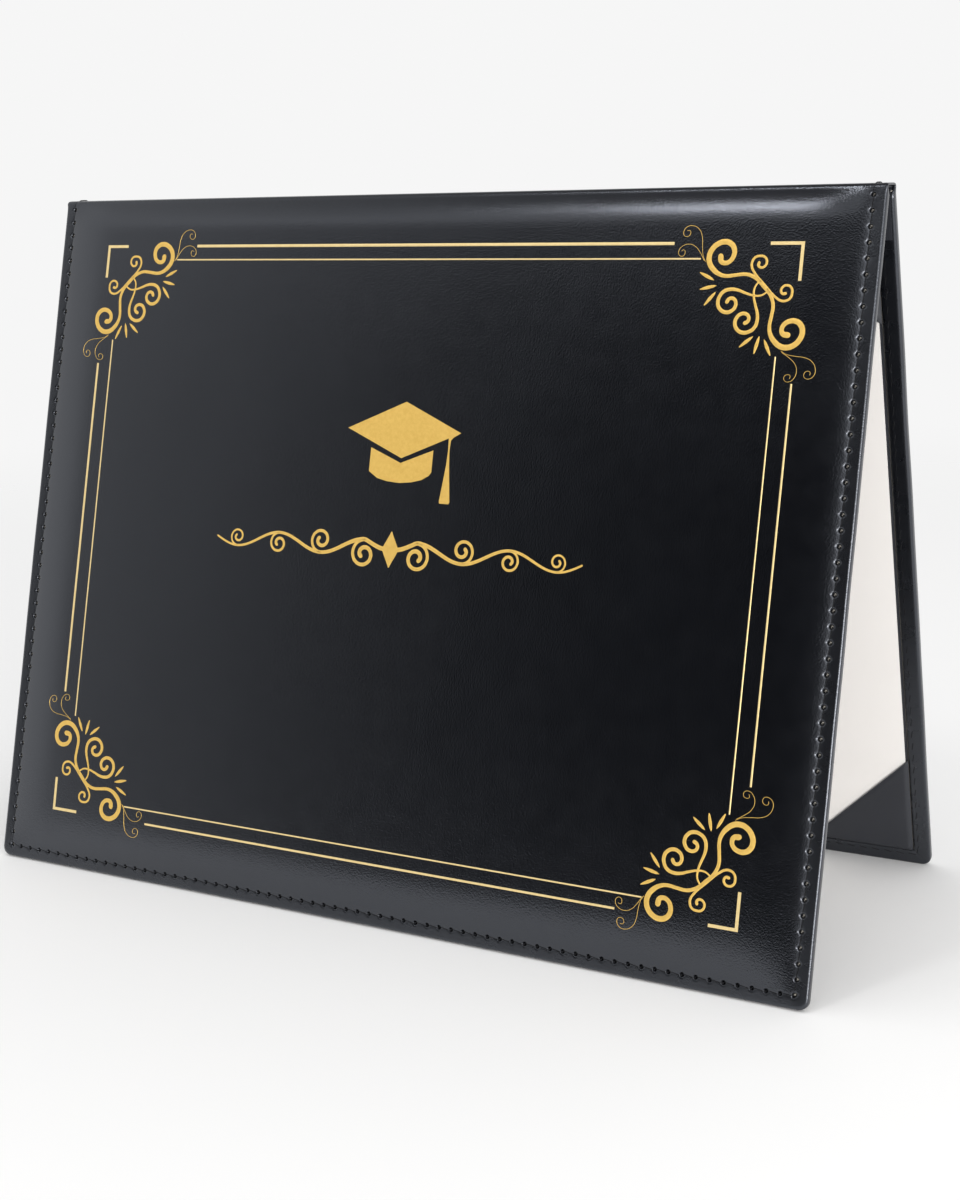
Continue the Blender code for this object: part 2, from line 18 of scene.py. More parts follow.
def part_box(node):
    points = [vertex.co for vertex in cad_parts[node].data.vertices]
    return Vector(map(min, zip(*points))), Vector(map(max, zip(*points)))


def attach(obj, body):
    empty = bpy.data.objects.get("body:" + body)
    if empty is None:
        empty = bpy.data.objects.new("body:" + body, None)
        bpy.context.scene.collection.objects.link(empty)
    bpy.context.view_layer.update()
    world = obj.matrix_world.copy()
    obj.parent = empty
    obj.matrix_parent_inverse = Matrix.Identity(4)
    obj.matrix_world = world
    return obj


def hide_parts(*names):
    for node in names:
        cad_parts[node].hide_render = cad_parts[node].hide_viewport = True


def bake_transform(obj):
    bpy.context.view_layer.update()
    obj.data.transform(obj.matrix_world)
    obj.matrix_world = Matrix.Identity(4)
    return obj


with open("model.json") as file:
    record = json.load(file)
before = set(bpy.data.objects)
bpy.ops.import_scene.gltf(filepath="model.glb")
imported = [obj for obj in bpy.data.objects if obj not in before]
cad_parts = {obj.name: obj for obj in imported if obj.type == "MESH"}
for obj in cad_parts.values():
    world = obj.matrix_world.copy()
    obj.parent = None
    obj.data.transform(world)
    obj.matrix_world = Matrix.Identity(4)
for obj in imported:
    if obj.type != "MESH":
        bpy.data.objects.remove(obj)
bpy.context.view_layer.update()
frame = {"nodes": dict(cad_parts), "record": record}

# Places taken from the frame
FOLDS = {joint["name"]: Vector(joint["pos_m"]) for joint in frame["record"]["behaviour"]["joints"]}
SPINE_HALF = FOLDS["back_fold"].y
RIDGE_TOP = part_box("spine_skin")[1].z
HALF_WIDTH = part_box("spine_skin")[1].x
FOLD_HEIGHT = FOLDS["back_fold"].z
FOLD_RADIUS = RIDGE_TOP - FOLD_HEIGHT

# Covers, and which way each one faces
COVERS = {"front": -1, "back": 1}
LEAN = math.radians(15)
BEND = math.pi / 2 - LEAN
COVER_HEIGHT = 0.2286
FOLD_DROP = FOLD_RADIUS * math.tan(BEND / 2)
FOLD_END = SPINE_HALF + BEND * FOLD_RADIUS
SKIN_END = FOLD_END + COVER_HEIGHT - FOLD_DROP
SKIN_WALL = 0.0004
MM = 0.001
TINY = 0.00001

# Angles past which an edge stays sharp
RIM_ANGLE = math.radians(86)
INNER_ANGLE = math.radians(40)
FOIL_ANGLE = math.radians(35)

# Wrapped edge and turned-in border
EDGE_ROLL = 0.0008
EDGE_THICKNESS = 0.0029
SPINE_EDGE_THICKNESS = 0.00075
BOARD_START = FOLD_END - 0.0003
BOARD_RAMP = 0.0020
BORDER_WIDTH = 0.0054
BORDER_LIP = 0.00025
CORNER_RADIUS = 0.0030
CORNER_ZONE = 0.0120
MITRE_START = -0.003
MITRE_DEPTH = 0.00022
MITRE_SPREAD = 0.00105
EDGE_WAVE = 0.00016
EDGE_WAVE_LENGTH = 0.026
EDGE_WAVE_FADE = 0.005

# Padding
PAD_RISE = 0.0020
SIDE_STRIP_RISE = -0.00013
FOOT_STRIP_RISE = 0.00020
STRIP_BLEND = 0.020
PAD_ROLL = 0.0180
RIDGE_ROLL = 0.0097
CROWN_POWER = 2.2
UNEVEN_LENGTH = 0.032
UNEVEN_RISE = 0.00005

# Layers of unevenness, so that no two sheets have the same
PAD_LAYER = 0
STRIP_LAYER = 3
EDGE_LAYER = 7
SHEET_LAYER = 11

# Seam
SEAM_INSET = 0.0038
STITCH_LENGTH = 0.0044
BOTTOM_STITCH_LENGTH = 0.95 * STITCH_LENGTH
GROOVE_DEPTH = 0.00006
GROOVE_SPREAD = 0.00040
GROOVE_SLACK = 0.25
HOLE_DEPTH = 0.00085
HOLE_RADIUS = 0.00060
HOLE_STEEPNESS = 4
THREAD_RADIUS = 0.00017
SEWN_FADE = 0.0030

# The seam's band of the skin's grid, whose cross lines crowd towards the needle holes
BAND_START = 0.0012
BAND_END = 0.0068
BAND_CORNER = 0.0080
BAND_MARGIN = 0.0005
BAND_CUTS = 7
CROWDING = 0.075

# Lines of the skin's grid: insets in millimetres near an edge, and shares of the border
EDGE_LINES = (
    1.2, 1.8, 2.4, 2.9, 3.15, 3.35, 3.55, 3.8, 4.05, 4.25, 4.45, 4.7, 5.2, 5.9, 6.8,
)
BORDER_LINES = (0.78, 0.56, 0.36, 0.16)
ROLL_STEPS = 4
SPINE_STEPS = 4
FOLD_STEPS = 6
RIDGE_STEPS = 8
RIDGE_CROWDING = 1.3

# Padding, blown up as cloth: a panel of skin from past the ridge to the seam, held at its rim.
# The foam's square corners hold the skin up more than air does, so the softness is a share of it.
SOFTNESS = 0.45
PAST_RIDGE = 0.030
PANEL_CELL = 0.005
AIR_PRESSURE = 4
AIR_STEPS = 20
MOST_RISE = 0.016

# Hinge strip, linings, certificate and pockets
STRIP_REACH = 0.0156
STRIP_WALL = 0.00045
STRIP_SIDE = 0.00110
STRIP_DEPTH_SPINE = 0.0013
STRIP_DEPTH_BOARD = 0.0029
STRIP_DEPTH_BORDER = 0.00336
STRIP_LEAD = 0.0004
STRIP_STEP = 0.0008
STRIP_FALL = 0.0016
STRIP_WAVE = 0.00004
STRIP_WAVE_LENGTH = 0.018
SIDE_CELL = 0.0007
FOLD_CELL = 0.0004
LAP_CELL = 0.0011
SHEET_CELL = 0.004
LINING_INSET = 0.0057
LINING_DEPTH = 0.0028
LINING_WALL = 0.0004
LINING_WAVE = (0.00005, 0.02)
CERTIFICATE = (0.2794, 0.2159)
CERTIFICATE_INSET = 0.00635
CERTIFICATE_DEPTH = 0.00335
CERTIFICATE_WALL = 0.00025
CERTIFICATE_WAVE = (0.00012, 0.06)
POCKET_LEG = 0.0350
POCKET_CUTS = 40
POCKET_TUCK = 0.0002
POCKET_DEPTH = 0.0040
POCKET_LEG_DEPTH = 0.00295
POCKET_LEG_RAMP = 0.0011
POCKET_WALL = 0.0004
MOUTH_FOLD = 0.0011
MOUTH_FOLD_SPREAD = 0.0006
MOUTH_FOLD_DEPTH = 0.00016
POCKET_SAG = 0.00010
POCKET_SAG_RUN = 0.012

# Foil film: how proud it stands, how far its edges sink in, and how steep its round edges are
FOIL_RISE = 0.00007
FOIL_SINK = 0.00006
FOIL_STEEPNESS = 0.8
FOIL_POINT_STEP = 0.004
OUTLINE_RISE = 1.3 * FOIL_RISE
WELD = 0.000005

# Gold stamp. Corner scroll, in millimetres from its corner: points along each stroke and its width.
# The strokes are one half of the motif, whose other half is its mirror image in the diagonal.
STEM_SCROLL = [
    (25.5, 3.3, 1.9), (25.2, 4.7, 1.7), (24.0, 5.2, 1.5), (22.5, 4.6, 1.5), (21.6, 3.1, 1.6),
    (21.6, 1.2, 1.7), (22.7, -0.3, 1.8), (24.6, -0.9, 1.8), (26.7, -0.3, 1.8), (28.3, 1.2, 1.8),
    (29.0, 3.1, 1.8), (28.7, 5.2, 1.8), (27.3, 7.1, 1.7), (25.4, 8.4, 1.4), (23.3, 8.9, 1.2),
    (20.2, 8.6, 1.15), (17.3, 8.4, 1.15), (15.0, 9.1, 1.2), (13.5, 10.0, 1.35), (11.7, 11.7, 1.5),
]
OUTER_CURL = [
    (13.8, 5.1, 1.0), (13.9, 5.9, 0.9), (13.0, 6.5, 0.8), (12.0, 6.1, 0.8), (11.5, 5.0, 0.8),
    (12.1, 3.6, 0.8), (13.7, 3.2, 0.8), (15.2, 3.7, 0.8), (15.9, 5.0, 0.8), (15.8, 6.4, 0.8),
    (14.9, 7.9, 0.8), (13.8, 9.3, 0.9), (12.7, 10.4, 1.0),
]
INNER_CURL = [
    (22.3, 16.3, 1.3), (21.8, 15.5, 1.2), (20.6, 15.3, 1.15), (19.7, 16.2, 1.15), (19.7, 17.7, 1.2),
    (20.6, 18.8, 1.2), (22.3, 19.3, 1.25), (24.2, 18.4, 1.25), (25.0, 16.8, 1.25), (24.7, 14.8, 1.2),
    (23.5, 13.3, 1.2), (21.5, 12.7, 1.15), (19.4, 12.9, 1.0), (17.1, 13.7, 0.85), (14.6, 14.4, 0.7),
    (12.3, 14.4, 0.6), (10.6, 13.4, 0.55),
]
OUTER_TENDRIL = [
    (30.0, 4.77, 0.15), (30.84, 3.3, 0.15), (31.4, 0.4, 0.17), (31.7, -2.2, 0.18), (32.7, -4.4, 0.18),
    (34.8, -5.6, 0.18), (36.7, -5.3, 0.18), (37.6, -4.0, 0.17), (37.4, -2.9, 0.16),
    (36.4, -2.5, 0.16), (35.5, -3.2, 0.16), (35.7, -4.2, 0.16), (36.5, -4.2, 0.15),
]
INNER_TENDRIL = [
    (30.43, 4.5, 0.18), (32.1, 1.9, 0.18), (33.4, 0.5, 0.17), (35.5, -0.3, 0.17), (37.6, 0.3, 0.17),
    (38.6, 1.7, 0.16), (38.3, 2.9, 0.16), (37.3, 3.2, 0.16), (36.6, 2.4, 0.16), (36.9, 1.4, 0.15),
    (37.7, 1.6, 0.15),
]
LEAVES = [
    ((31.38, 7.89), (26.88, 10.1)), ((30.93, 12.77), (25.97, 11.64)), ((29.18, 17.35), (26.05, 13.52)),
]
LEAF_SHAPE = ((0, 0.25), (0.22, 0.72), (0.5, 1.0), (0.8, 0.75), (1, 0.15))
LEAF_WIDTH = 1.15
STROKE_SHARE = 0.88

# Round end of a stroke: how far past its last point, and how wide there, in shares of its width
TIP_SHAPE = ((0.36, 0.70), (0.50, 0.12))

# Mortarboard: its place, and its outlines in millimetres from there
CAP_ASIDE = 0.0007
CAP_DOWN = 0.0745
CAP_BOARD = [
    (-20.4, 0.0), (0.1, -8.9), (20.5, 0.1), (19.5, 0.7), (18.1, 1.5), (17.15, 2.5), (17.0, 5.7),
    (17.35, 10.2), (18.7, 21.4), (18.4, 22.0), (15.2, 22.0), (15.0, 21.4), (16.3, 10.2),
    (16.5, 5.7), (16.35, 1.85), (0.1, 8.7),
]
CAP_CROWN = [
    (-11.2, 5.8), (0.0, 10.2), (11.3, 5.8), (11.3, 12.6), (10.5, 13.7), (8.1, 15.1), (4.6, 16.0),
    (0.1, 16.45), (-4.4, 16.1), (-8.0, 15.3), (-11.2, 13.3),
]

# Vine under the mortarboard: a stem that sways and a curl at each of its bends
VINE_DOWN = 0.1118
VINE_HALF = 0.0660
VINE_START = 0.0015
VINE_BENDS = 4
VINE_SWAY = 0.0026
VINE_WIDTH = 0.0014
VINE_TIP_WIDTH = 0.0006
VINE_STEPS = 8
CURL_RADIUS = 0.0046
CURL_SHRINK = 0.86
CURL_TURNS = 1.35
CURL_TIGHTENING = 0.74
CURL_ROOT_WIDTH = 0.75
CURL_END_WIDTH = 1.1
CURL_STEPS = 14
LOZENGE = (0.0030, 0.0056)
LOZENGE_TIP = 0.0003

# Frame, in millimetres across from the middle and down from the ridge. The stamp isn't quite square
# on the cover, so each line has its own ends and width, and each corner its own places.
LINES = {
    "outer_line_top": ((-86.15, 16.45), (85.35, 16.80), 0.90),
    "outer_line_bottom": ((-84.25, 209.35), (86.95, 209.35), 0.66),
    "outer_line_left": ((-123.55, 56.45), (-123.55, 169.35), 0.82),
    "outer_line_right": ((124.65, 56.45), (124.35, 169.35), 0.54),
    "inner_line_top": ((-93.95, 21.0), (93.95, 21.25), 0.45),
    "inner_line_bottom": ((-93.55, 204.8), (94.95, 204.8), 0.45),
    "inner_line_left": ((-118.2, 48.35), (-118.1, 177.15), 0.50),
    "inner_line_right": ((119.2, 48.95), (118.9, 177.75), 0.40),
}
CORNERS = {
    "top_left": {"ways": (-1, -1), "scroll": (-125.05, 16.65), "bracket": (-123.95, 15.95), "arm": 8.7},
    "top_right": {"ways": (1, -1), "scroll": (125.50, 17.30), "bracket": (124.65, 16.45), "arm": 10.0},
    "bottom_left": {"ways": (-1, 1), "scroll": (-124.52, 208.84), "bracket": (-124.0, 209.85), "arm": 10.4},
    "bottom_right": {"ways": (1, 1), "scroll": (125.67, 209.11), "bracket": (124.65, 209.85), "arm": 8.9},
}
BRACKET_DROP = 11.1
BRACKET_WIDTH = 0.95

# Stitches
STITCH_SLANT = 0.00024
STITCH_RISE = -0.00009
SPINE_STITCH_LIFT = 0.00030
STITCH_DIP = 0.00045
STITCH_DIP_SHARE = 0.22
STITCH_CUTS = 7
BOBBIN_START = 0.0190

# Studio
WHITE = (1, 1, 1, 1)
PALE = (0.922, 0.922, 0.922, 1)
WARM = (1.0, 0.975, 0.95)
FILL = 0.775
FLOOR_COLOUR = (0.90, 0.90, 0.90, 1)
FLOOR_RADIUS = 1.6
FLOOR_FADE = (0.32, 1.2)
FLAG_COLOUR = (0.002, 0.002, 0.002, 1)

# Camera, which stands where the photograph was taken from
CAMERA_PLACE = (0.29904, -0.51449, 0.22623)
CAMERA_TURN = (77.1088, 1.5552, 28.798)
CAMERA_FOCAL_PIXELS = 1853.6
CAMERA_REACH = (0.02, 50)
PICTURE_HEIGHT = 1200
SENSOR = 36


def smooth(share):
    share = min(1.0, max(0.0, share))
    return share * share * (3 - 2 * share)


def bell(distance, spread):
    return math.exp(-0.5 * (distance / spread) ** 2)


def unevenness(across, along, layer, length):
    """Smooth noise over a sheet, about -1 to 1. Its swells are a length apart."""
    return noise.noise(Vector((across, along, layer)) / length)


def section(along):
    """Where the skin's plain face lies at a distance from the spine's middle, and its outward side."""
    if along <= SPINE_HALF:
        return -along, RIDGE_TOP, 0.0
    turn = min((along - SPINE_HALF) / FOLD_RADIUS, BEND)
    y = -SPINE_HALF - FOLD_RADIUS * math.sin(turn)
    z = FOLD_HEIGHT + FOLD_RADIUS * math.cos(turn)
    down = max(0.0, along - FOLD_END)
    return y - down * math.sin(LEAN), z - down * math.cos(LEAN), turn


def on_skin(across, along, out, facing=-1):
    """A point in the world, on the front cover's half (facing -1) or the back cover's (facing 1)."""
    y, z, turn = section(along)
    y -= out * math.sin(turn)
    z += out * math.cos(turn)
    return Vector((across, -facing * y, z))


def along_at(down):
    """The distance along the skin of a point that lies so far down from the ridge line."""
    return FOLD_END + down - FOLD_DROP


# Lengths round the wrapped edge, and how far the blank reaches past the cover's edge
ROLL_RUN = EDGE_ROLL * math.pi / 2
EDGE_RUN = EDGE_THICKNESS - 2 * EDGE_ROLL
BORDER_RUN = BORDER_WIDTH - BORDER_LIP - EDGE_ROLL
LIP_RUN = BORDER_LIP * math.pi / 2
LIP_DROP = 0.0002
BLANK_MARGIN = 2 * ROLL_RUN + EDGE_RUN + BORDER_RUN + LIP_RUN + LIP_DROP - EDGE_ROLL

# Stitches: a whole number on each run, with a hole in each corner
SIDE_RUN = SKIN_END - SEAM_INSET
SIDE_STITCHES = round(SIDE_RUN / STITCH_LENGTH - 0.5)
SIDE_STITCH = SIDE_RUN / (SIDE_STITCHES + 0.5)
BOTTOM_RUN = 2 * (HALF_WIDTH - SEAM_INSET)
BOTTOM_STITCHES = round(BOTTOM_RUN / BOTTOM_STITCH_LENGTH)
BOTTOM_STITCH = BOTTOM_RUN / BOTTOM_STITCHES


def wrapped(inset):
    """Real inset and depth of a point of the blank that lies so far in from the cover's edge."""
    past = EDGE_ROLL - inset
    if past <= 0:
        return inset, 0.0
    if past < ROLL_RUN:
        turn = past / EDGE_ROLL
        return EDGE_ROLL * (1 - math.sin(turn)), EDGE_ROLL * (1 - math.cos(turn))
    past -= ROLL_RUN
    if past < EDGE_RUN:
        return 0.0, EDGE_ROLL + past
    past -= EDGE_RUN
    if past < ROLL_RUN:
        turn = past / EDGE_ROLL
        return EDGE_ROLL * (1 - math.cos(turn)), EDGE_THICKNESS - EDGE_ROLL * (1 - math.sin(turn))
    past -= ROLL_RUN
    if past < BORDER_RUN:
        return EDGE_ROLL + past, EDGE_THICKNESS
    past -= BORDER_RUN
    if past < LIP_RUN:
        turn = past / BORDER_LIP
        inset = BORDER_WIDTH - BORDER_LIP * (1 - math.sin(turn))
        return inset, EDGE_THICKNESS - BORDER_LIP * (1 - math.cos(turn))
    past -= LIP_RUN
    return BORDER_WIDTH, EDGE_THICKNESS - BORDER_LIP - past


def round_corner(real, inset_across, inset_along):
    """Moves a point of the blank's square corner on to the ring that lies so far in, which is rounded."""
    low = min(inset_across, inset_along)
    radius = CORNER_RADIUS * max(0.0, 1 - real / BAND_END)
    share = abs(inset_across - inset_along) / (CORNER_ZONE - low)
    run = share * (CORNER_ZONE - real - radius * (1 - math.pi / 4))
    arc = radius * math.pi / 4
    if run < arc:
        turn = math.pi / 4 - run / radius
        near = real + radius - radius * math.cos(turn)
        far = real + radius - radius * math.sin(turn)
    else:
        near = real
        far = real + radius + run - arc
    return (near, far) if inset_across <= inset_along else (far, near)


def crown(share):
    return 1 - (1 - min(1.0, max(0.0, share))) ** CROWN_POWER


def strip_share(inset):
    """How much of its rise the strip between the edge and the seam has, from 0 to 1."""
    return min(1.0, max(0.0, (inset - EDGE_ROLL) / (SEAM_INSET - EDGE_ROLL)))


def padding(across, along):
    """Height of the padded face, with the slight unevenness of foam under a stretched skin."""
    side = HALF_WIDTH - abs(across)
    foot = SKIN_END - along
    head = (along - FOLD_END) / RIDGE_ROLL
    nearer_foot = smooth((side - foot) / STRIP_BLEND + 0.5)
    rise = SIDE_STRIP_RISE + (FOOT_STRIP_RISE - SIDE_STRIP_RISE) * nearer_foot
    rise *= smooth(head)
    strip = rise * strip_share(side) * strip_share(foot)
    share = crown((side - SEAM_INSET) / PAD_ROLL) * crown((foot - SEAM_INSET) / PAD_ROLL)
    if BLOWN_SKIN:
        blown = crown(blown_height(BLOWN_SKIN, across, along) / BLOWN_RAMP)
        share += (blown - share) * SOFTNESS
    share *= crown(head)
    uneven = UNEVEN_RISE * unevenness(across, along, PAD_LAYER, UNEVEN_LENGTH)
    return strip + share * (PAD_RISE - rise + uneven)


def from_needle_hole(inset_across, inset_along):
    """How far along the seam a point lies from the nearest needle hole, and the stitches' pitch there."""
    pitch = SIDE_STITCH if inset_across <= inset_along else BOTTOM_STITCH
    run = max(inset_across, inset_along) - SEAM_INSET
    return run - pitch * round(run / pitch), pitch


def hole_share(real, inset_across, inset_along):
    """1 in the middle of a needle hole and 0 beside it."""
    from_hole = from_needle_hole(inset_across, inset_along)[0]
    from_middle = math.hypot(real - SEAM_INSET, from_hole) / HOLE_RADIUS
    return math.exp(-(from_middle**HOLE_STEEPNESS))


def seam_relief(real, inset_across, inset_along, with_holes=True):
    """The groove that the thread pulls into the skin, with a needle hole at the end of each stitch."""
    from_hole, pitch = from_needle_hole(inset_across, inset_along)
    tension = 1 - GROOVE_SLACK * (1 - math.cos(2 * math.pi * from_hole / pitch))
    relief = -GROOVE_DEPTH * tension * bell(real - SEAM_INSET, GROOVE_SPREAD)
    if with_holes:
        relief -= HOLE_DEPTH * hole_share(real, inset_across, inset_along)
    return relief


def edge_share(along):
    """How much of the cover's edge thickness there is: little over the spine, where no board lies."""
    thin = SPINE_EDGE_THICKNESS / EDGE_THICKNESS
    return thin + (1 - thin) * smooth((along - BOARD_START) / BOARD_RAMP)


def surface(across, along, with_holes=False):
    """Height of the finished front face."""
    inset_across = HALF_WIDTH - abs(across)
    inset_along = SKIN_END - along
    real = min(inset_across, inset_along)
    return padding(across, along) + seam_relief(real, inset_across, inset_along, with_holes)


def spread_from_holes(inset_across, inset_along):
    """Draws the blank's cross lines towards the needle holes, inside the seam's band."""
    low = min(inset_across, inset_along)
    high = max(inset_across, inset_along)
    if high < BAND_CORNER or not BAND_START < low < BAND_END:
        return inset_across, inset_along
    pitch = SIDE_STITCH if inset_across <= inset_along else BOTTOM_STITCH
    window = math.sqrt(math.sin(math.pi * (low - BAND_START) / (BAND_END - BAND_START)))
    shift = CROWDING * pitch * window * math.sin(2 * math.pi * (high - SEAM_INSET) / pitch)
    if inset_across <= inset_along:
        return inset_across, inset_along - shift
    return inset_across - shift, inset_along


def lay_blank(across, along, facing):
    """Where a point of the flat blank comes to lie on the finished cover."""
    side = 1 if across >= 0 else -1
    inset_across = HALF_WIDTH - abs(across)
    inset_along = SKIN_END - along
    inset_across, inset_along = spread_from_holes(inset_across, inset_along)
    low = min(inset_across, inset_along)
    real, depth = wrapped(low)
    if max(inset_across, inset_along) < CORNER_ZONE:
        placed_across, placed_along = round_corner(real, inset_across, inset_along)
    elif inset_across <= inset_along:
        placed_across, placed_along = real, inset_along
    else:
        placed_across, placed_along = inset_across, real
    new_across = side * (HALF_WIDTH - placed_across)
    new_along = SKIN_END - placed_along
    out = -depth * edge_share(new_along)
    if depth == 0.0:
        out += padding(new_across, new_along)
        out += seam_relief(real, max(inset_across, SEAM_INSET), max(inset_along, SEAM_INSET))
    elif low < MITRE_START:
        out += MITRE_DEPTH * bell(inset_across - inset_along, MITRE_SPREAD)
    wave = EDGE_WAVE * unevenness(new_across, new_along, EDGE_LAYER * facing, EDGE_WAVE_LENGTH)
    fade = 1 - smooth(real / EDGE_WAVE_FADE)
    if inset_across <= inset_along:
        new_across += side * wave * fade
    else:
        new_along -= (EDGE_WAVE - wave) / 2 * fade
    return on_skin(new_across, new_along, out, facing)


def edge_lines():
    """Insets of the grid's lines from the blank's rim to the seam's inner side."""
    lines = [-BLANK_MARGIN, -BLANK_MARGIN + LIP_DROP, -BLANK_MARGIN + LIP_DROP + LIP_RUN]
    roll_end = EDGE_ROLL - 2 * ROLL_RUN - EDGE_RUN
    lines += [roll_end - BORDER_RUN * share for share in BORDER_LINES]
    lines += [roll_end + ROLL_RUN * step / ROLL_STEPS for step in range(ROLL_STEPS + 1)]
    lines.append(EDGE_ROLL - ROLL_RUN - EDGE_RUN / 2)
    lines += [EDGE_ROLL - ROLL_RUN * step / ROLL_STEPS for step in range(ROLL_STEPS, -1, -1)]
    lines += [line * MM for line in EDGE_LINES]
    return lines


def across_lines():
    rim = edge_lines()
    count = 2 * BOTTOM_STITCHES
    middle = []
    for step in range(count + 1):
        inset = SEAM_INSET + step * BOTTOM_STITCH / 2
        if BAND_END + BAND_MARGIN < inset < 2 * HALF_WIDTH - BAND_END - BAND_MARGIN:
            middle.append(HALF_WIDTH - inset)
    positions = [HALF_WIDTH - inset for inset in rim] + middle + [inset - HALF_WIDTH for inset in rim]
    return sorted(positions)


def along_lines():
    positions = [SKIN_END - inset for inset in edge_lines()]
    step = 0
    while SEAM_INSET + step * SIDE_STITCH / 2 < SKIN_END - FOLD_END - 2 * SIDE_STITCH:
        inset = SEAM_INSET + step * SIDE_STITCH / 2
        if inset > BAND_END + BAND_MARGIN:
            positions.append(SKIN_END - inset)
        step += 1
    first = min(positions)
    positions += [SPINE_HALF * step / SPINE_STEPS for step in range(SPINE_STEPS)]
    positions += [SPINE_HALF + (FOLD_END - SPINE_HALF) * step / FOLD_STEPS for step in range(FOLD_STEPS)]
    shares = [(step / RIDGE_STEPS) ** RIDGE_CROWDING for step in range(RIDGE_STEPS)]
    positions += [FOLD_END + (first - FOLD_END) * share for share in shares]
    return sorted(positions)


def deselect_all():
    bpy.ops.object.select_all(action="DESELECT")


def active(obj):
    deselect_all()
    obj.select_set(True)
    bpy.context.view_layer.objects.active = obj


def deselect_mesh(mesh):
    for part in (mesh.vertices, mesh.edges, mesh.polygons):
        part.foreach_set("select", [False] * len(part))


def cut_edges(obj, wanted, cuts):
    """Cuts each edge that wanted(first, second) picks by its ends, as many times as cuts says."""
    mesh = obj.data
    deselect_mesh(mesh)
    for edge in mesh.edges:
        first, second = (mesh.vertices[index].co for index in edge.vertices)
        edge.select = wanted(first, second)
    bpy.context.tool_settings.mesh_select_mode = (False, True, False)
    active(obj)
    bpy.ops.object.mode_set(mode="EDIT")
    bpy.ops.mesh.subdivide(number_cuts=cuts)
    bpy.ops.object.mode_set(mode="OBJECT")


def taken_apart(obj):
    """The places and faces of an object's mesh. The object is removed."""
    points = [tuple(vertex.co) for vertex in obj.data.vertices]
    faces = [tuple(face.vertices) for face in obj.data.polygons]
    bpy.data.objects.remove(obj)
    return points, faces


def changed(obj, change):
    """Lets change() work on the object's mesh."""
    draft = bmesh.new()
    draft.from_mesh(obj.data)
    change(draft)
    draft.to_mesh(obj.data)
    draft.free()


def face_outwards(draft):
    bmesh.ops.recalc_face_normals(draft, faces=draft.faces)


def grid(name, columns, rows):
    """A flat grid whose lines lie at the given places."""
    deselect_all()
    cells_across = len(columns) - 1
    cells_along = len(rows) - 1
    bpy.ops.mesh.primitive_grid_add(x_subdivisions=cells_across, y_subdivisions=cells_along, size=1)
    sheet = bpy.context.object
    sheet.name = name
    sheet.data.name = name
    for vertex in sheet.data.vertices:
        column = round((vertex.co.x + 0.5) * cells_across)
        row = round((vertex.co.y + 0.5) * cells_along)
        vertex.co = (columns[column], rows[row], 0)
    return sheet


def spaced(first, last, step):
    """Evenly spaced places from first to last, about a step apart."""
    count = max(1, round((last - first) / step))
    return [first + (last - first) * index / count for index in range(count + 1)]


def blown_skin():
    """The panel after air has lifted it. Its height over the plain face shapes the padding."""
    half = HALF_WIDTH - SEAM_INSET
    foot = SKIN_END - SEAM_INSET
    columns = spaced(-half, half, PANEL_CELL)
    panel = grid("blown_skin", columns, spaced(-PAST_RIDGE, foot, PANEL_CELL))
    rim = panel.vertex_groups.new(name="rim")
    held = []
    for vertex in panel.data.vertices:
        at_side = half - abs(vertex.co.x)
        if min(at_side, vertex.co.y + PAST_RIDGE, foot - vertex.co.y) < PANEL_CELL / 2:
            held.append(vertex.index)
    rim.add(held, 1.0, "REPLACE")
    cloth = panel.modifiers.new("cloth", "CLOTH")
    cloth.settings.vertex_group_mass = rim.name
    cloth.settings.use_pressure = True
    cloth.settings.uniform_pressure_force = AIR_PRESSURE
    cloth.settings.effector_weights.gravity = 0
    for step in range(1, AIR_STEPS + 1):
        bpy.context.scene.frame_set(step)
    active(panel)
    bpy.ops.object.modifier_apply(modifier=cloth.name)
    bpy.context.scene.frame_set(1)
    for vertex in panel.data.vertices:
        vertex.co.z = min(vertex.co.z, MOST_RISE)
    finer = panel.modifiers.new("finer", "SUBSURF")
    finer.levels = 2
    finer.render_levels = 2
    bpy.ops.object.modifier_apply(modifier=finer.name)
    return BVHTree.FromPolygons(*taken_apart(panel))


def blown_height(skin, across, along):
    place = skin.ray_cast(Vector((across, along, 1)), Vector((0, 0, -1)))[0]
    return place.z if place else 0.0


BLOWN_SKIN = blown_skin()
BLOWN_RAMP = 1.0
if BLOWN_SKIN:
    BLOWN_RAMP = blown_height(BLOWN_SKIN, HALF_WIDTH - SEAM_INSET - PAD_ROLL, SKIN_END / 2)


def runs_along_seam(first, second):
    """Whether an edge of the blank's grid lies in the seam's band and runs along it."""
    inset_across = HALF_WIDTH - abs(first.x + second.x) / 2
    inset_along = SKIN_END - (first.y + second.y) / 2
    down_side = abs(first.x - second.x) < TINY
    inset = inset_across if down_side else inset_along
    other = inset_along if down_side else inset_across
    return BAND_START - TINY < inset < BAND_END + TINY and other > BAND_END


def smooth_shaded(obj, angle=None):
    active(obj)
    if angle is None:
        bpy.ops.object.shade_smooth()
    else:
        bpy.ops.object.shade_smooth_by_angle(angle=angle)


def dress(obj, material):
    obj.data.materials.clear()
    obj.data.materials.append(material)


def finished(sheet, inside_out, thickness, material, angle=INNER_ANGLE):
    """Gives a laid sheet its wall, behind the face that shows, and its finish."""
    if inside_out:
        sheet.data.flip_normals()
    wall = sheet.modifiers.new("wall", "SOLIDIFY")
    wall.thickness = thickness
    wall.offset = -1
    active(sheet)
    bpy.ops.object.modifier_apply(modifier=wall.name)
    smooth_shaded(sheet, angle)
    dress(sheet, material)
    return sheet


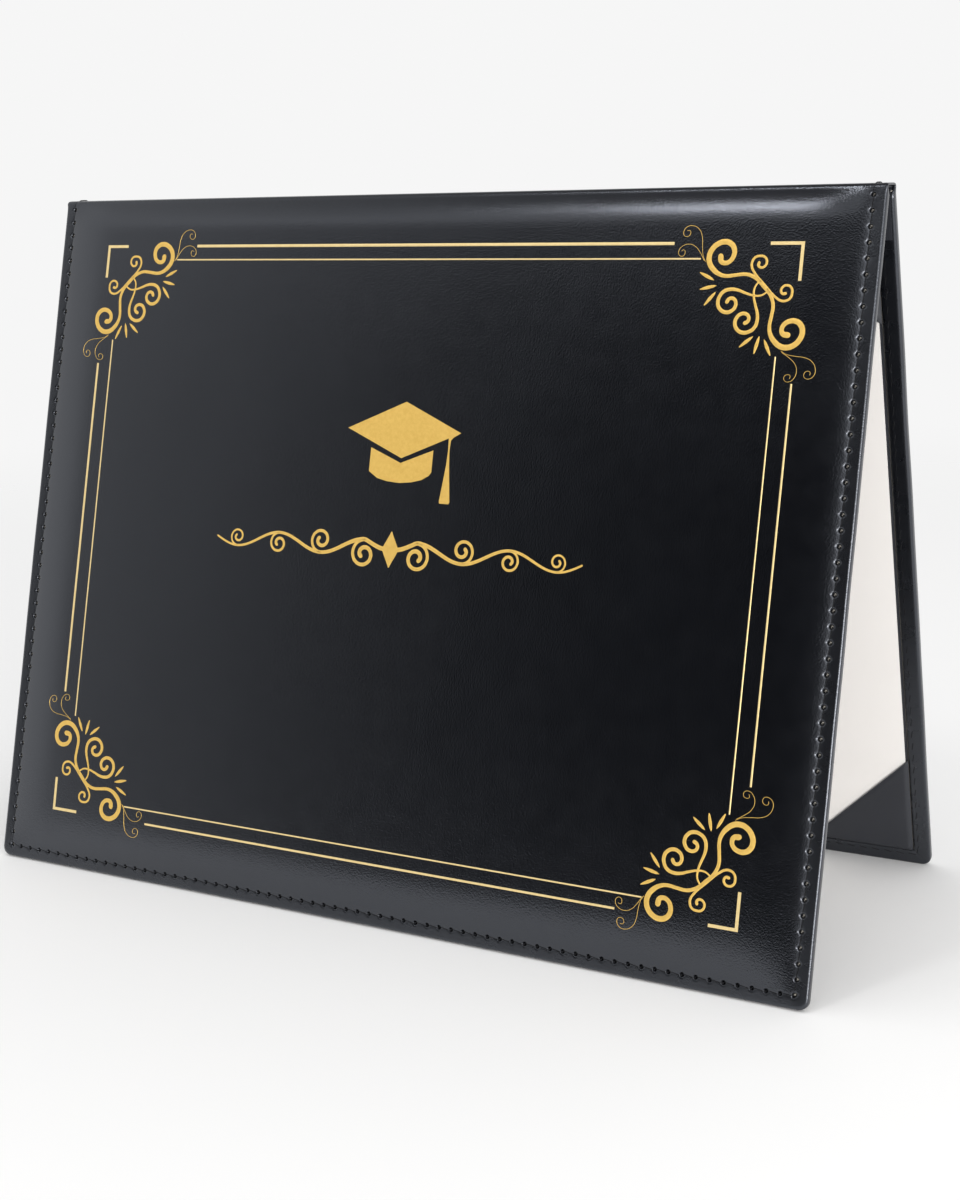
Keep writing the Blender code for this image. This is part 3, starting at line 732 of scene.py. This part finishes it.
def bend_with(obj, facing):
    """Bakes the piece's place into its mesh, whichever cover it belongs to."""
    low = on_skin(0, FOLD_END, 0, facing)
    if facing < 0:
        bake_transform(obj)
    else:
        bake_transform(obj)


def cover_wrap(name, facing, material):
    """One half of the outer skin, from the spine's middle to the turned-in border."""
    wrap = grid(name, across_lines(), along_lines())
    cut_edges(wrap, runs_along_seam, BAND_CUTS)
    wrap.data.attributes.new("sewn", "FLOAT", "POINT")
    # The second mark is painted shade: it darkens the needle holes in the skin's finish.
    wrap.data.attributes.new("needle_hole_shade", "FLOAT", "POINT")
    sewn = wrap.data.attributes["sewn"].data
    holes = wrap.data.attributes["needle_hole_shade"].data
    for vertex, mark, hole in zip(wrap.data.vertices, sewn, holes):
        insets = HALF_WIDTH - abs(vertex.co.x), SKIN_END - vertex.co.y
        mark.value = 1 - smooth((min(insets) - SEAM_INSET) / SEWN_FADE)
        insets = spread_from_holes(*insets)
        hole.value = hole_share(min(insets), *(max(inset, SEAM_INSET) for inset in insets))
        vertex.co = lay_blank(vertex.co.x, vertex.co.y, facing)
    return finished(wrap, facing < 0, SKIN_WALL, material, RIM_ANGLE)


def strip_depth(across, along):
    on_border = smooth((abs(across) - (HALF_WIDTH - BORDER_WIDTH) + STRIP_LEAD) / STRIP_STEP)
    board = STRIP_DEPTH_BOARD + (STRIP_DEPTH_BORDER - STRIP_DEPTH_BOARD) * on_border
    fall = smooth((along - SPINE_HALF) / (FOLD_END - SPINE_HALF + STRIP_FALL))
    return STRIP_DEPTH_SPINE + (board - STRIP_DEPTH_SPINE) * fall


def hinge_strip(name, facing, material):
    """The inner strip under the ridge: it laps on to the borders, and in between meets the lining."""
    half = HALF_WIDTH - STRIP_SIDE
    notch = HALF_WIDTH - BORDER_WIDTH
    low = along_at(BORDER_WIDTH)
    sides = spaced(notch, half, SIDE_CELL)
    columns = [-place for place in reversed(sides)] + spaced(-notch, notch, SHEET_CELL)[1:-1] + sides
    rows = spaced(0, SPINE_HALF, SIDE_CELL)[:-1] + spaced(SPINE_HALF, low, FOLD_CELL)
    rows += spaced(low, along_at(STRIP_REACH), LAP_CELL)[1:]
    strip = grid(name, columns, rows)

    def open_middle(draft):
        middles = [(face, face.calc_center_median()) for face in draft.faces]
        spare = [face for face, middle in middles if abs(middle.x) < notch and middle.y > low]
        bmesh.ops.delete(draft, geom=spare, context="FACES")

    changed(strip, open_middle)
    for vertex in strip.data.vertices:
        across, along = vertex.co.xy
        depth = strip_depth(across, along)
        depth += STRIP_WAVE * unevenness(across, along, STRIP_LAYER * facing, STRIP_WAVE_LENGTH)
        vertex.co = on_skin(across, along, -depth, facing)
    return finished(strip, facing > 0, STRIP_WALL, material)


def laid_sheet(name, facing, size, top, depth, wall, wave, material):
    """A sheet that lies inside a cover. Its wave has a rise and a length."""
    width, height = size
    rise, length = wave
    columns = spaced(-width / 2, width / 2, SHEET_CELL)
    sheet = grid(name, columns, spaced(along_at(top), along_at(top + height), SHEET_CELL))
    for vertex in sheet.data.vertices:
        across, along = vertex.co.xy
        lift = rise * (0.5 + 0.5 * unevenness(across, along, SHEET_LAYER * facing, length))
        vertex.co = on_skin(across, along, -depth + rise - lift, facing)
    return finished(sheet, facing > 0, wall, material)


def pocket(name, side, level, material):
    """A corner pocket on the back cover: a triangle whose legs tuck under the border."""
    deselect_all()
    bpy.ops.mesh.primitive_plane_add(size=1, location=(0.5, 0.5, 0))
    flap = bpy.context.object
    flap.name = name
    bpy.context.tool_settings.mesh_select_mode = (True, False, False)
    deselect_mesh(flap.data)
    for vertex in flap.data.vertices:
        vertex.select = vertex.co.x > 0 and vertex.co.y > 0
    bpy.ops.object.mode_set(mode="EDIT")
    bpy.ops.mesh.dissolve_verts()
    bpy.ops.mesh.select_all(action="SELECT")
    bpy.ops.mesh.subdivide(number_cuts=POCKET_CUTS)
    bpy.ops.mesh.select_all(action="DESELECT")
    bpy.ops.object.mode_set(mode="OBJECT")
    flap.data.name = name
    bpy.ops.object.transform_apply(location=True, rotation=True, scale=True)
    corner = LINING_INSET - POCKET_TUCK
    for vertex in flap.data.vertices:
        inset_across = vertex.co.x * POCKET_LEG
        inset_down = vertex.co.y * POCKET_LEG
        from_leg = min(inset_across, inset_down)
        from_mouth = (POCKET_LEG - inset_across - inset_down) / math.sqrt(2)
        depth = POCKET_LEG_DEPTH + (POCKET_DEPTH - POCKET_LEG_DEPTH) * smooth(from_leg / POCKET_LEG_RAMP)
        depth += MOUTH_FOLD_DEPTH * bell(from_mouth - MOUTH_FOLD, MOUTH_FOLD_SPREAD)
        depth += POCKET_SAG * smooth(from_mouth / POCKET_SAG_RUN)
        across = side * (HALF_WIDTH - corner - inset_across)
        down = COVER_HEIGHT / 2 + level * (COVER_HEIGHT / 2 - corner - inset_down)
        vertex.co = on_skin(across, along_at(down), -depth, 1)
    inside_out = flap.data.polygons[0].normal.y > 0
    return finished(flap, inside_out, POCKET_WALL, material)


def scaled(stroke):
    return [(x * MM, y * MM, width * STROKE_SHARE * MM) for x, y, width in stroke]


def swapped(stroke):
    return [(y, x, *rest) for x, y, *rest in stroke]


def rounded_ends(stroke):
    """Adds points just past each end, where the stroke narrows to a round tip."""
    result = list(stroke)
    for end, before in ((0, 1), (-1, -2)):
        x, y, width = stroke[end]
        heading = Vector((x - stroke[before][0], y - stroke[before][1])).normalized()
        tip = []
        for reach, share in TIP_SHAPE:
            tip.append((x + heading.x * width * reach, y + heading.y * width * reach, width * share))
        result = tip[::-1] + result if end == 0 else result + tip
    return result


def empty_curve(name):
    deselect_all()
    bpy.ops.curve.primitive_bezier_curve_add(radius=1, location=(0, 0, 0))
    curve = bpy.context.object
    curve.name = name
    curve.data.splines.clear()
    return curve


def made_mesh(curve):
    active(curve)
    bpy.ops.object.convert(target="MESH")
    foil = bpy.context.object
    foil.data.name = foil.name
    return foil


def ribbons(name, strokes, place):
    """Strokes of foil as thin strips with a flat top and soft edges, laid on the padding."""
    curve = empty_curve(name)
    data = curve.data
    data.bevel_depth = 1
    data.bevel_resolution = 1
    data.resolution_u = 6
    data.use_fill_caps = True
    data.twist_mode = "Z_UP"
    for stroke in strokes:
        spline = data.splines.new("BEZIER")
        spline.bezier_points.add(len(stroke) - 1)
        for point, (x, y, width) in zip(spline.bezier_points, stroke):
            point.co = (x, y, 0)
            point.radius = width / 2
            point.handle_left_type = "AUTO"
            point.handle_right_type = "AUTO"
    foil = made_mesh(curve)
    press_foil(foil, place)
    return foil


def press_foil(foil, place):
    """Flattens foil to its film and lays it on the padding where place() says."""
    for vertex in foil.data.vertices:
        across, down = place(vertex.co.x, vertex.co.y)
        height = max(-FOIL_SINK, min(FOIL_RISE, vertex.co.z * FOIL_STEEPNESS))
        along = along_at(down)
        vertex.co = on_skin(across, along, surface(across, along) + height)
    changed(foil, face_outwards)


def weld(draft):
    bmesh.ops.remove_doubles(draft, verts=draft.verts, dist=WELD)


def filled_outline(name, points, place):
    """A flat area of foil whose outline is given in millimetres."""
    curve = empty_curve(name)
    data = curve.data
    data.dimensions = "2D"
    data.fill_mode = "BOTH"
    data.extrude = OUTLINE_RISE
    spline = data.splines.new("POLY")
    spline.points.add(len(points) - 1)
    for point, (x, y) in zip(spline.points, points):
        point.co = (x * MM, y * MM, 0, 1)
    spline.use_cyclic_u = True
    foil = made_mesh(curve)
    changed(foil, weld)
    press_foil(foil, place)
    return foil


def gild(foil, material, *nodes):
    smooth_shaded(foil, FOIL_ANGLE)
    dress(foil, material)
    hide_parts(*nodes)
    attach(foil, "front_cover")


def leaf_stroke(tip, root):
    leaf = []
    for share, width in LEAF_SHAPE:
        x = tip[0] + (root[0] - tip[0]) * share
        y = tip[1] + (root[1] - tip[1]) * share
        leaf.append((x, y, LEAF_WIDTH * width))
    return scaled(leaf)


def scroll_strokes():
    """The whole corner scroll, with its tendrils and leaves."""
    stem = scaled(STEM_SCROLL)
    strokes = [rounded_ends(stem + swapped(stem[:-1])[::-1])]
    for table in (OUTER_CURL, INNER_CURL, OUTER_TENDRIL, INNER_TENDRIL):
        stroke = rounded_ends(scaled(table))
        strokes += [stroke, swapped(stroke)]
    for tip, root in LEAVES:
        leaf = leaf_stroke(tip, root)
        strokes += [leaf, swapped(leaf)]
    return strokes


def vine_strokes():
    """The vine: a wavy stem to each side, a curl at each of its bends and a lozenge in the middle."""
    pitch = (VINE_HALF - VINE_START) / VINE_BENDS
    steps = VINE_BENDS * VINE_STEPS
    stem = []
    for index in range(steps + 1):
        along = index / VINE_STEPS
        sway = -VINE_SWAY * math.cos(math.pi * (along - 0.5)) * min(1, 2 * along)
        width = VINE_WIDTH + (VINE_TIP_WIDTH - VINE_WIDTH) * index / steps
        stem.append((VINE_START + along * pitch, sway, width))
    strokes = [rounded_ends(stem)]
    for bend in range(VINE_BENDS):
        side = 1 if bend % 2 == 0 else -1
        radius = CURL_RADIUS * CURL_SHRINK**bend
        start = stem[round((bend + 0.5) * VINE_STEPS)]
        curl = []
        for index in range(CURL_STEPS + 1):
            share = index / CURL_STEPS
            angle = 2 * math.pi * CURL_TURNS * share
            reach = radius * (1 - CURL_TIGHTENING * share)
            x = start[0] + reach * math.sin(angle)
            y = start[1] + side * (radius - reach * math.cos(angle))
            widening = CURL_ROOT_WIDTH + (CURL_END_WIDTH - CURL_ROOT_WIDTH) * share
            curl.append((x, y, start[2] * widening))
        strokes.append(rounded_ends(curl))
    other = [[(-x, y, width) for x, y, width in stroke] for stroke in strokes]
    half_width, half_height = LOZENGE
    lozenge = [(0, -half_height, LOZENGE_TIP), (0, 0, 2 * half_width), (0, half_height, LOZENGE_TIP)]
    return [lozenge] + strokes + other


def line_stroke(start, end, width):
    """A straight stroke with enough points to follow the padding."""
    start = Vector(start) * MM
    end = Vector(end) * MM
    count = max(2, round((end - start).length / FOIL_POINT_STEP))
    return [(*start.lerp(end, index / count), width * MM) for index in range(count + 1)]


def placed(aside, down, side=1, level=1):
    """Where a motif's points lie on the cover, once it is mirrored by its ways and moved to its place."""
    return lambda x, y: (aside + side * x, down + level * y)


def stamp(gold, pale_gold):
    """The gold stamp on the front cover."""
    for name, (start, end, width) in LINES.items():
        foil = ribbons(f"gold_{name}", [line_stroke(start, end, width)], placed(0, 0))
        gild(foil, pale_gold, f"foil_{name}")
    scroll = scroll_strokes()
    for name, corner in CORNERS.items():
        side, level = corner["ways"]
        in_corner = placed(corner["scroll"][0] * MM, corner["scroll"][1] * MM, -side, -level)
        at_frame = placed(corner["bracket"][0] * MM, corner["bracket"][1] * MM, -side, -level)
        gild(ribbons(f"gold_scroll_{name}", scroll, in_corner), gold, f"foil_scroll_{name}")
        arm = corner["arm"]
        bracket = [
            (0, 0), (arm, 0), (arm, BRACKET_WIDTH), (BRACKET_WIDTH, BRACKET_WIDTH),
            (BRACKET_WIDTH, BRACKET_DROP), (0, BRACKET_DROP),
        ]
        gild(filled_outline(f"gold_bracket_{name}", bracket, at_frame), pale_gold, f"foil_bracket_{name}")

    on_cap = placed(CAP_ASIDE, CAP_DOWN)
    gild(filled_outline("gold_cap_board", CAP_BOARD, on_cap), gold, "foil_cap_board")
    gild(filled_outline("gold_cap_crown", CAP_CROWN, on_cap), gold, "foil_cap_crown")
    gild(ribbons("gold_vine", vine_strokes(), placed(0, VINE_DOWN)), gold, "foil_flourish")


def stitch_shape():
    """One stitch of unit length: a thread that comes out of one needle hole and dips into the next."""
    deselect_all()
    bpy.ops.mesh.primitive_cylinder_add(vertices=6, radius=1, depth=1, end_fill_type="NGON")
    stitch = bpy.context.object
    cut_edges(stitch, lambda first, second: abs(first.z - second.z) > 0.5, STITCH_CUTS)
    return taken_apart(stitch)


def seam_holes():
    """Needle holes of the seam: down the left side, along the bottom and up the right side."""
    side = HALF_WIDTH - SEAM_INSET
    left = [(-side, SIDE_STITCH * (step + 0.5)) for step in range(SIDE_STITCHES)]
    bottom = [(-side + BOTTOM_STITCH * step, SIDE_RUN) for step in range(1, BOTTOM_STITCHES)]
    corner_radius = CORNER_RADIUS * (1 - SEAM_INSET / BAND_END)
    shift = corner_radius * (1 - math.sqrt(0.5))
    left_corner = (-side + shift, SIDE_RUN - shift)
    right_corner = (side - shift, SIDE_RUN - shift)
    right = [(-across, along) for across, along in reversed(left)]
    return left + [left_corner] + bottom + [right_corner] + right


def sew(name, holes, facing, shape, base, material, up=1):
    """A run of stitches between needle holes. base(across, along) is the height that they lie at."""
    points, faces = shape
    made_points = []
    made_faces = []
    for (across, along), (next_across, next_along) in zip(holes, holes[1:]):
        length = math.hypot(next_across - across, next_along - along)
        heading = Vector((next_across - across, next_along - along)) / length
        beside = Vector((-heading.y, heading.x))
        first = len(made_points)
        for x, y, z in points:
            share = z + 0.5
            sway = STITCH_SLANT * math.sin(math.pi * (share - 0.5)) + x * THREAD_RADIUS
            at_across = across + heading.x * length * share + beside.x * sway
            at_along = along + heading.y * length * share + beside.y * sway
            middle = smooth(min(share, 1 - share) / STITCH_DIP_SHARE)
            lift = -STITCH_DIP + (STITCH_DIP + STITCH_RISE) * middle + y * THREAD_RADIUS
            made_points.append(on_skin(at_across, at_along, base(at_across, at_along) + up * lift, facing))
        made_faces += [tuple(first + index for index in face) for face in faces]
    mesh = bpy.data.meshes.new(name)
    mesh.from_pydata(made_points, [], made_faces)
    run = bpy.data.objects.new(name, mesh)
    bpy.context.scene.collection.objects.link(run)
    changed(run, face_outwards)
    smooth_shaded(run)
    dress(run, material)
    return run


# Shader sums
class Value:
    """A shader's socket that arithmetic signs work on."""

    def __init__(self, tree, socket):
        self.tree = tree
        self.socket = socket

    def sum_of(self, operation, first, second):
        return self.tree.node("ShaderNodeMath", {"operation": operation}, {0: first, 1: second})

    def __add__(self, other):
        return self.sum_of("ADD", self, other)

    def __mul__(self, other):
        return self.sum_of("MULTIPLY", self, other)

    __radd__ = __add__
    __rmul__ = __mul__


class Tree:
    """Nodes in the making. node() makes every one of them."""

    def __init__(self, nodes_and_links):
        self.nodes = nodes_and_links.nodes
        self.links = nodes_and_links.links

    def node(self, kind, settings=None, values=None, output=0):
        made = self.nodes.new(kind)
        for name, setting in (settings or {}).items():
            setattr(made, name, setting)
        self.connect(made, values or {})
        if made.outputs:
            return Value(self, made.outputs[output])

    def connect(self, target, values):
        for name, value in values.items():
            if isinstance(value, Value):
                self.links.new(value.socket, target.inputs[name])
            else:
                target.inputs[name].default_value = value


class Finish(Tree):
    """A material in the making. Its patterns lie in the piece's own coordinates."""

    def __init__(self, name):
        self.material = bpy.data.materials.new(name)
        self.material.use_nodes = True
        super().__init__(self.material.node_tree)
        self.shader = self.nodes["Principled BSDF"]
        self.place = self.node("ShaderNodeTexCoord", output="Object")

    def made(self, values):
        """The material, once the shader's sockets have their values or links."""
        self.connect(self.shader, values)
        return self.material

    def noise(self, size, detail=2.0, roughness=0.5):
        values = {"Vector": self.place, "Scale": 1 / size, "Detail": detail, "Roughness": roughness}
        return self.node("ShaderNodeTexNoise", {"noise_dimensions": "3D"}, values)

    def cells(self, size):
        values = {"Vector": self.place, "Scale": 1 / size}
        return self.node("ShaderNodeTexVoronoi", {"feature": "SMOOTH_F1"}, values)

    def fade(self, value, limits):
        values = {"Value": value, "From Min": limits[0], "From Max": limits[1]}
        return self.node("ShaderNodeMapRange", {"interpolation_type": "SMOOTHSTEP"}, values)

    def attribute(self, name):
        return self.node("ShaderNodeAttribute", {"attribute_name": name}, output="Fac")

    def mixed(self, share, first, second):
        values = {"Factor": share, 6: first, 7: second}
        return self.node("ShaderNodeMix", {"data_type": "RGBA"}, values, 2)

    def bump(self, height, depth, strength):
        values = {"Height": height, "Distance": depth, "Strength": strength}
        return self.node("ShaderNodeBump", {}, values)


def leatherette():
    """Smooth black leatherette, duller where it is sewn flat, with painted shade inside its needle holes."""
    finish = Finish("black_leatherette")
    tone = finish.noise(0.028, 3.0)
    grain = finish.cells(0.00042) * 0.7 + finish.noise(0.00022) * 0.5
    pebble = finish.noise(0.00055, 0.5) * 0.9
    cloudy = finish.noise(0.006, 3.0) * 0.08
    return finish.made({
        "Base Color": finish.mixed(tone, (0.0018, 0.0020, 0.0028, 1), (0.0030, 0.0034, 0.0046, 1)),
        "Roughness": cloudy + finish.attribute("sewn") * 0.08 + 0.16,
        # Painted shade in the needle holes: metallic there, the near-black colour takes the place of the
        # skin's shine.
        "Metallic": finish.attribute("needle_hole_shade"),
        "Normal": finish.bump(grain + pebble, 0.00005, 0.55),
        "Specular Tint": (0.84, 0.89, 1.0, 1),
        "Specular IOR Level": 1.0,
    })


def lining_leatherette():
    finish = Finish("lining_leatherette")
    tone = finish.noise(0.020, 3.0)
    return finish.made({
        "Base Color": finish.mixed(tone, (0.014, 0.016, 0.021, 1), (0.021, 0.023, 0.030, 1)),
        "Roughness": finish.noise(0.005, 3.0) * 0.12 + 0.44,
        "Normal": finish.bump(finish.cells(0.00045), 0.00005, 0.5),
    })


def sewing_thread():
    finish = Finish("sewing_thread")
    tone = finish.noise(0.0012)
    return finish.made({
        "Base Color": finish.mixed(tone, (0.002, 0.002, 0.003, 1), (0.006, 0.007, 0.009, 1)),
        "Roughness": finish.noise(0.0008) * 0.2 + 0.60,
        "Normal": finish.bump(finish.noise(0.00012), 0.00004, 0.8),
        "Specular IOR Level": 0.25,
    })


def gold_foil(name, dull, bright):
    finish = Finish(name)
    tone = finish.noise(0.0012, 5.0, 0.78)
    return finish.made({
        "Base Color": finish.mixed(tone, dull, bright),
        "Roughness": tone * 0.25 + 0.34,
        "Normal": finish.bump(finish.noise(0.00030), 0.00006, 0.6),
        "Metallic": 0.6,
    })


def certificate_card():
    finish = Finish("certificate_card")
    tone = finish.noise(0.03)
    fibre = finish.noise(0.0007, 4.0, 0.7)
    return finish.made({
        "Base Color": finish.mixed(tone, (0.86, 0.835, 0.81, 1), (0.90, 0.875, 0.85, 1)),
        "Roughness": fibre * 0.1 + 0.62,
        "Normal": finish.bump(fibre, 0.00003, 0.4),
    })


def greyboard():
    finish = Finish("greyboard")
    fibre = finish.noise(0.0012, 5.0, 0.7)
    return finish.made({
        "Base Color": finish.mixed(fibre, (0.26, 0.24, 0.21, 1), (0.42, 0.40, 0.36, 1)),
        "Roughness": fibre * 0.1 + 0.82,
        "Normal": finish.bump(fibre, 0.0001, 0.5),
    })


def studio_floor():
    """A pale floor that fades into the backdrop."""
    deselect_all()
    bpy.ops.mesh.primitive_circle_add(vertices=96, radius=FLOOR_RADIUS, fill_type="NGON", location=(0, 0, 0))
    floor = bpy.context.object
    floor.name = "studio_floor"
    finish = Finish("studio_floor")
    finish.made({"Base Color": FLOOR_COLOUR, "Roughness": 0.9, "Specular IOR Level": 0.0})
    distance = finish.node("ShaderNodeVectorMath", {"operation": "LENGTH"}, {0: finish.place}, "Value")
    far = finish.fade(distance, FLOOR_FADE)
    solid = Value(finish, finish.shader.outputs[0])
    clear = finish.node("ShaderNodeBsdfTransparent")
    floor_or_backdrop = finish.node("ShaderNodeMixShader", {}, {0: far, 1: solid, 2: clear})
    finish.connect(finish.nodes["Material Output"], {"Surface": floor_or_backdrop})
    floor.data.materials.append(finish.material)


def studio_world():
    """Rays from the camera and from mirrors see the pale backdrop. The fill is what lights the object."""
    world = bpy.data.worlds.new("studio")
    bpy.context.scene.world = world
    world.use_nodes = True
    sky = Tree(world.node_tree)
    sky.nodes.clear()
    seen = sky.node("ShaderNodeLightPath", output="Is Camera Ray")
    for kind in ("Is Transmission Ray", "Is Glossy Ray"):
        other = sky.node("ShaderNodeLightPath", output=kind)
        seen = sky.node("ShaderNodeMath", {"operation": "MAXIMUM"}, {0: seen, 1: other})
    fill = sky.node("ShaderNodeBackground", {}, {"Color": WHITE, "Strength": FILL})
    backdrop = sky.node("ShaderNodeBackground", {}, {"Color": PALE})
    light = sky.node("ShaderNodeMixShader", {}, {0: seen, 1: fill, 2: backdrop})
    sky.node("ShaderNodeOutputWorld", {}, {"Surface": light})


def aimed(place, target):
    """The turn of a lamp or flag at a place that looks at its target."""
    return (Vector(target) - Vector(place)).to_track_quat("-Z", "Y").to_euler()


def softbox(name, place, target, width, height, power, colour=(1, 1, 1), seen_in_gloss=True):
    light = bpy.data.lights.new(name, "AREA")
    light.shape = "RECTANGLE"
    light.size = width
    light.size_y = height
    light.energy = power
    light.color = colour
    lamp = bpy.data.objects.new(name, light)
    bpy.context.scene.collection.objects.link(lamp)
    lamp.location = place
    lamp.rotation_euler = aimed(place, target)
    lamp.visible_camera = False
    lamp.visible_glossy = seen_in_gloss


def dark_flag(name, place, target, width, height, fade, weight=1.0):
    """A black gauze that only reflections see, thin at its left. It keeps the front cover's middle dark."""
    deselect_all()
    bpy.ops.mesh.primitive_plane_add(size=1)
    flag = bpy.context.object
    flag.name = name
    for vertex in flag.data.vertices:
        vertex.co = (vertex.co.x * width, vertex.co.y * height, 0)
    flag.location = place
    flag.rotation_euler = aimed(place, target)
    for ray in ("camera", "diffuse", "shadow", "transmission"):
        setattr(flag, f"visible_{ray}", False)
    finish = Finish(name)
    gauze = finish.fade(finish.node("ShaderNodeSeparateXYZ", {}, {0: finish.place}), fade)
    flag.data.materials.append(finish.made({
        "Base Color": FLAG_COLOUR,
        "Alpha": gauze * weight,
        "Roughness": 1.0,
        "Specular IOR Level": 0.0,
    }))


def studio_lights():
    middle = (0, 0, 0.1)
    softbox("overhead", (-0.25, 0.0, 1.7), middle, width=1.3, height=1.3, power=4, seen_in_gloss=False)
    softbox("ridge", (-0.393, -0.927, 1.267), (0.118, 0, 0.213), width=0.16, height=0.24, power=2.15)
    softbox("front_right", (1.1, -1.3, 1.25), middle, width=1.0, height=1.0, power=5)
    softbox("inside", (1.25, -1.05, 0.24), middle, width=0.8, height=0.6, power=20, colour=WARM)


def dark_flags():
    front = (-0.73, -1.5, 0.55)
    dark_flag("front_flag", front, (-0.73, 0, 0.55), width=2.44, height=1.10, fade=(-1.35, 0.17))
    above = (0, 0, 1.8)
    dark_flag("ceiling_flag", above, (0, 0, 0), width=3.4, height=3.4, fade=(-2.20, -0.35), weight=0.74)


def camera():
    data = bpy.data.cameras.new("photograph_camera")
    data.sensor_fit = "AUTO"
    data.sensor_width = SENSOR
    data.lens = CAMERA_FOCAL_PIXELS * SENSOR / PICTURE_HEIGHT
    data.clip_start, data.clip_end = CAMERA_REACH
    eye = bpy.data.objects.new("photograph_camera", data)
    bpy.context.scene.collection.objects.link(eye)
    eye.location = CAMERA_PLACE
    eye.rotation_euler = Euler([math.radians(angle) for angle in CAMERA_TURN], "XYZ")
    bpy.context.scene.camera = eye


def build():
    scene = bpy.context.scene
    scene.view_settings.view_transform = "Standard"
    camera()
    studio_world()
    studio_floor()
    studio_lights()
    dark_flags()
    skin = leatherette()
    inner = lining_leatherette()
    thread = sewing_thread()
    gold = gold_foil("gold_foil", (0.66, 0.39, 0.070, 1), (0.93, 0.65, 0.19, 1))
    pale_gold = gold_foil("pale_gold_foil", (0.76, 0.54, 0.21, 1), (0.96, 0.80, 0.44, 1))
    card = certificate_card()
    board = greyboard()
    for side, facing in COVERS.items():
        cover = f"{side}_cover"
        wrap = cover_wrap(f"{side}_wrap", facing, skin)
        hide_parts(f"{side}_skin", f"{side}_pad", f"{side}_fold_skin", "spine_skin")
        bend_with(wrap, facing)
        strip = hinge_strip(f"{side}_hinge_lining", facing, inner)
        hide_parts(f"{side}_hinge_strip", "spine_hinge_strip")
        bend_with(strip, facing)
        size = (2 * (HALF_WIDTH - LINING_INSET), COVER_HEIGHT - 2 * LINING_INSET)
        lining = laid_sheet(
            f"{side}_inner_lining", facing, size, LINING_INSET, LINING_DEPTH, LINING_WALL, LINING_WAVE,
            inner,
        )
        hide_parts(f"{side}_lining")
        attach(lining, cover)
        board_materials = frame["nodes"][f"{side}_board"].data.materials
        board_materials.clear()
        board_materials.append(board)

    certificate = laid_sheet(
        "certificate", 1, CERTIFICATE, CERTIFICATE_INSET, CERTIFICATE_DEPTH, CERTIFICATE_WALL,
        CERTIFICATE_WAVE, card,
    )
    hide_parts("certificate_sheet")
    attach(certificate, "back_cover")
    for name, corner in CORNERS.items():
        side, level = corner["ways"]
        flap = pocket(f"corner_pocket_{name}", -side, level, inner)
        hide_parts(f"pocket_{name}")
        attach(flap, "back_cover")

    shape = stitch_shape()
    holes = seam_holes()
    for side, facing in COVERS.items():
        seam = sew(f"{side}_seam_stitches", holes, facing, shape, surface, thread)
        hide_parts(f"{side}_needle_thread")
        bend_with(seam, facing)

        def on_border(across, along):
            return -EDGE_THICKNESS * edge_share(along)

        inner_holes = [hole for hole in holes if hole[1] > along_at(BOBBIN_START)]
        border = sew(f"{side}_border_stitches", inner_holes, facing, shape, on_border, thread, up=-1)
        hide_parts(f"{side}_bobbin_thread")
        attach(border, f"{side}_cover")

    def over_spine(across, along):
        return surface(across, abs(along)) + SPINE_STITCH_LIFT

    for name, side in (("left", -1), ("right", 1)):
        across = side * (HALF_WIDTH - SEAM_INSET)
        crossing = [(across, -SIDE_STITCH / 2), (across, SIDE_STITCH / 2)]
        stitch = sew(f"spine_stitch_{name}", crossing, -1, shape, over_spine, thread)
        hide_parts(f"spine_thread_{name}")
        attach(stitch, "spine")
    stamp(gold, pale_gold)


build()
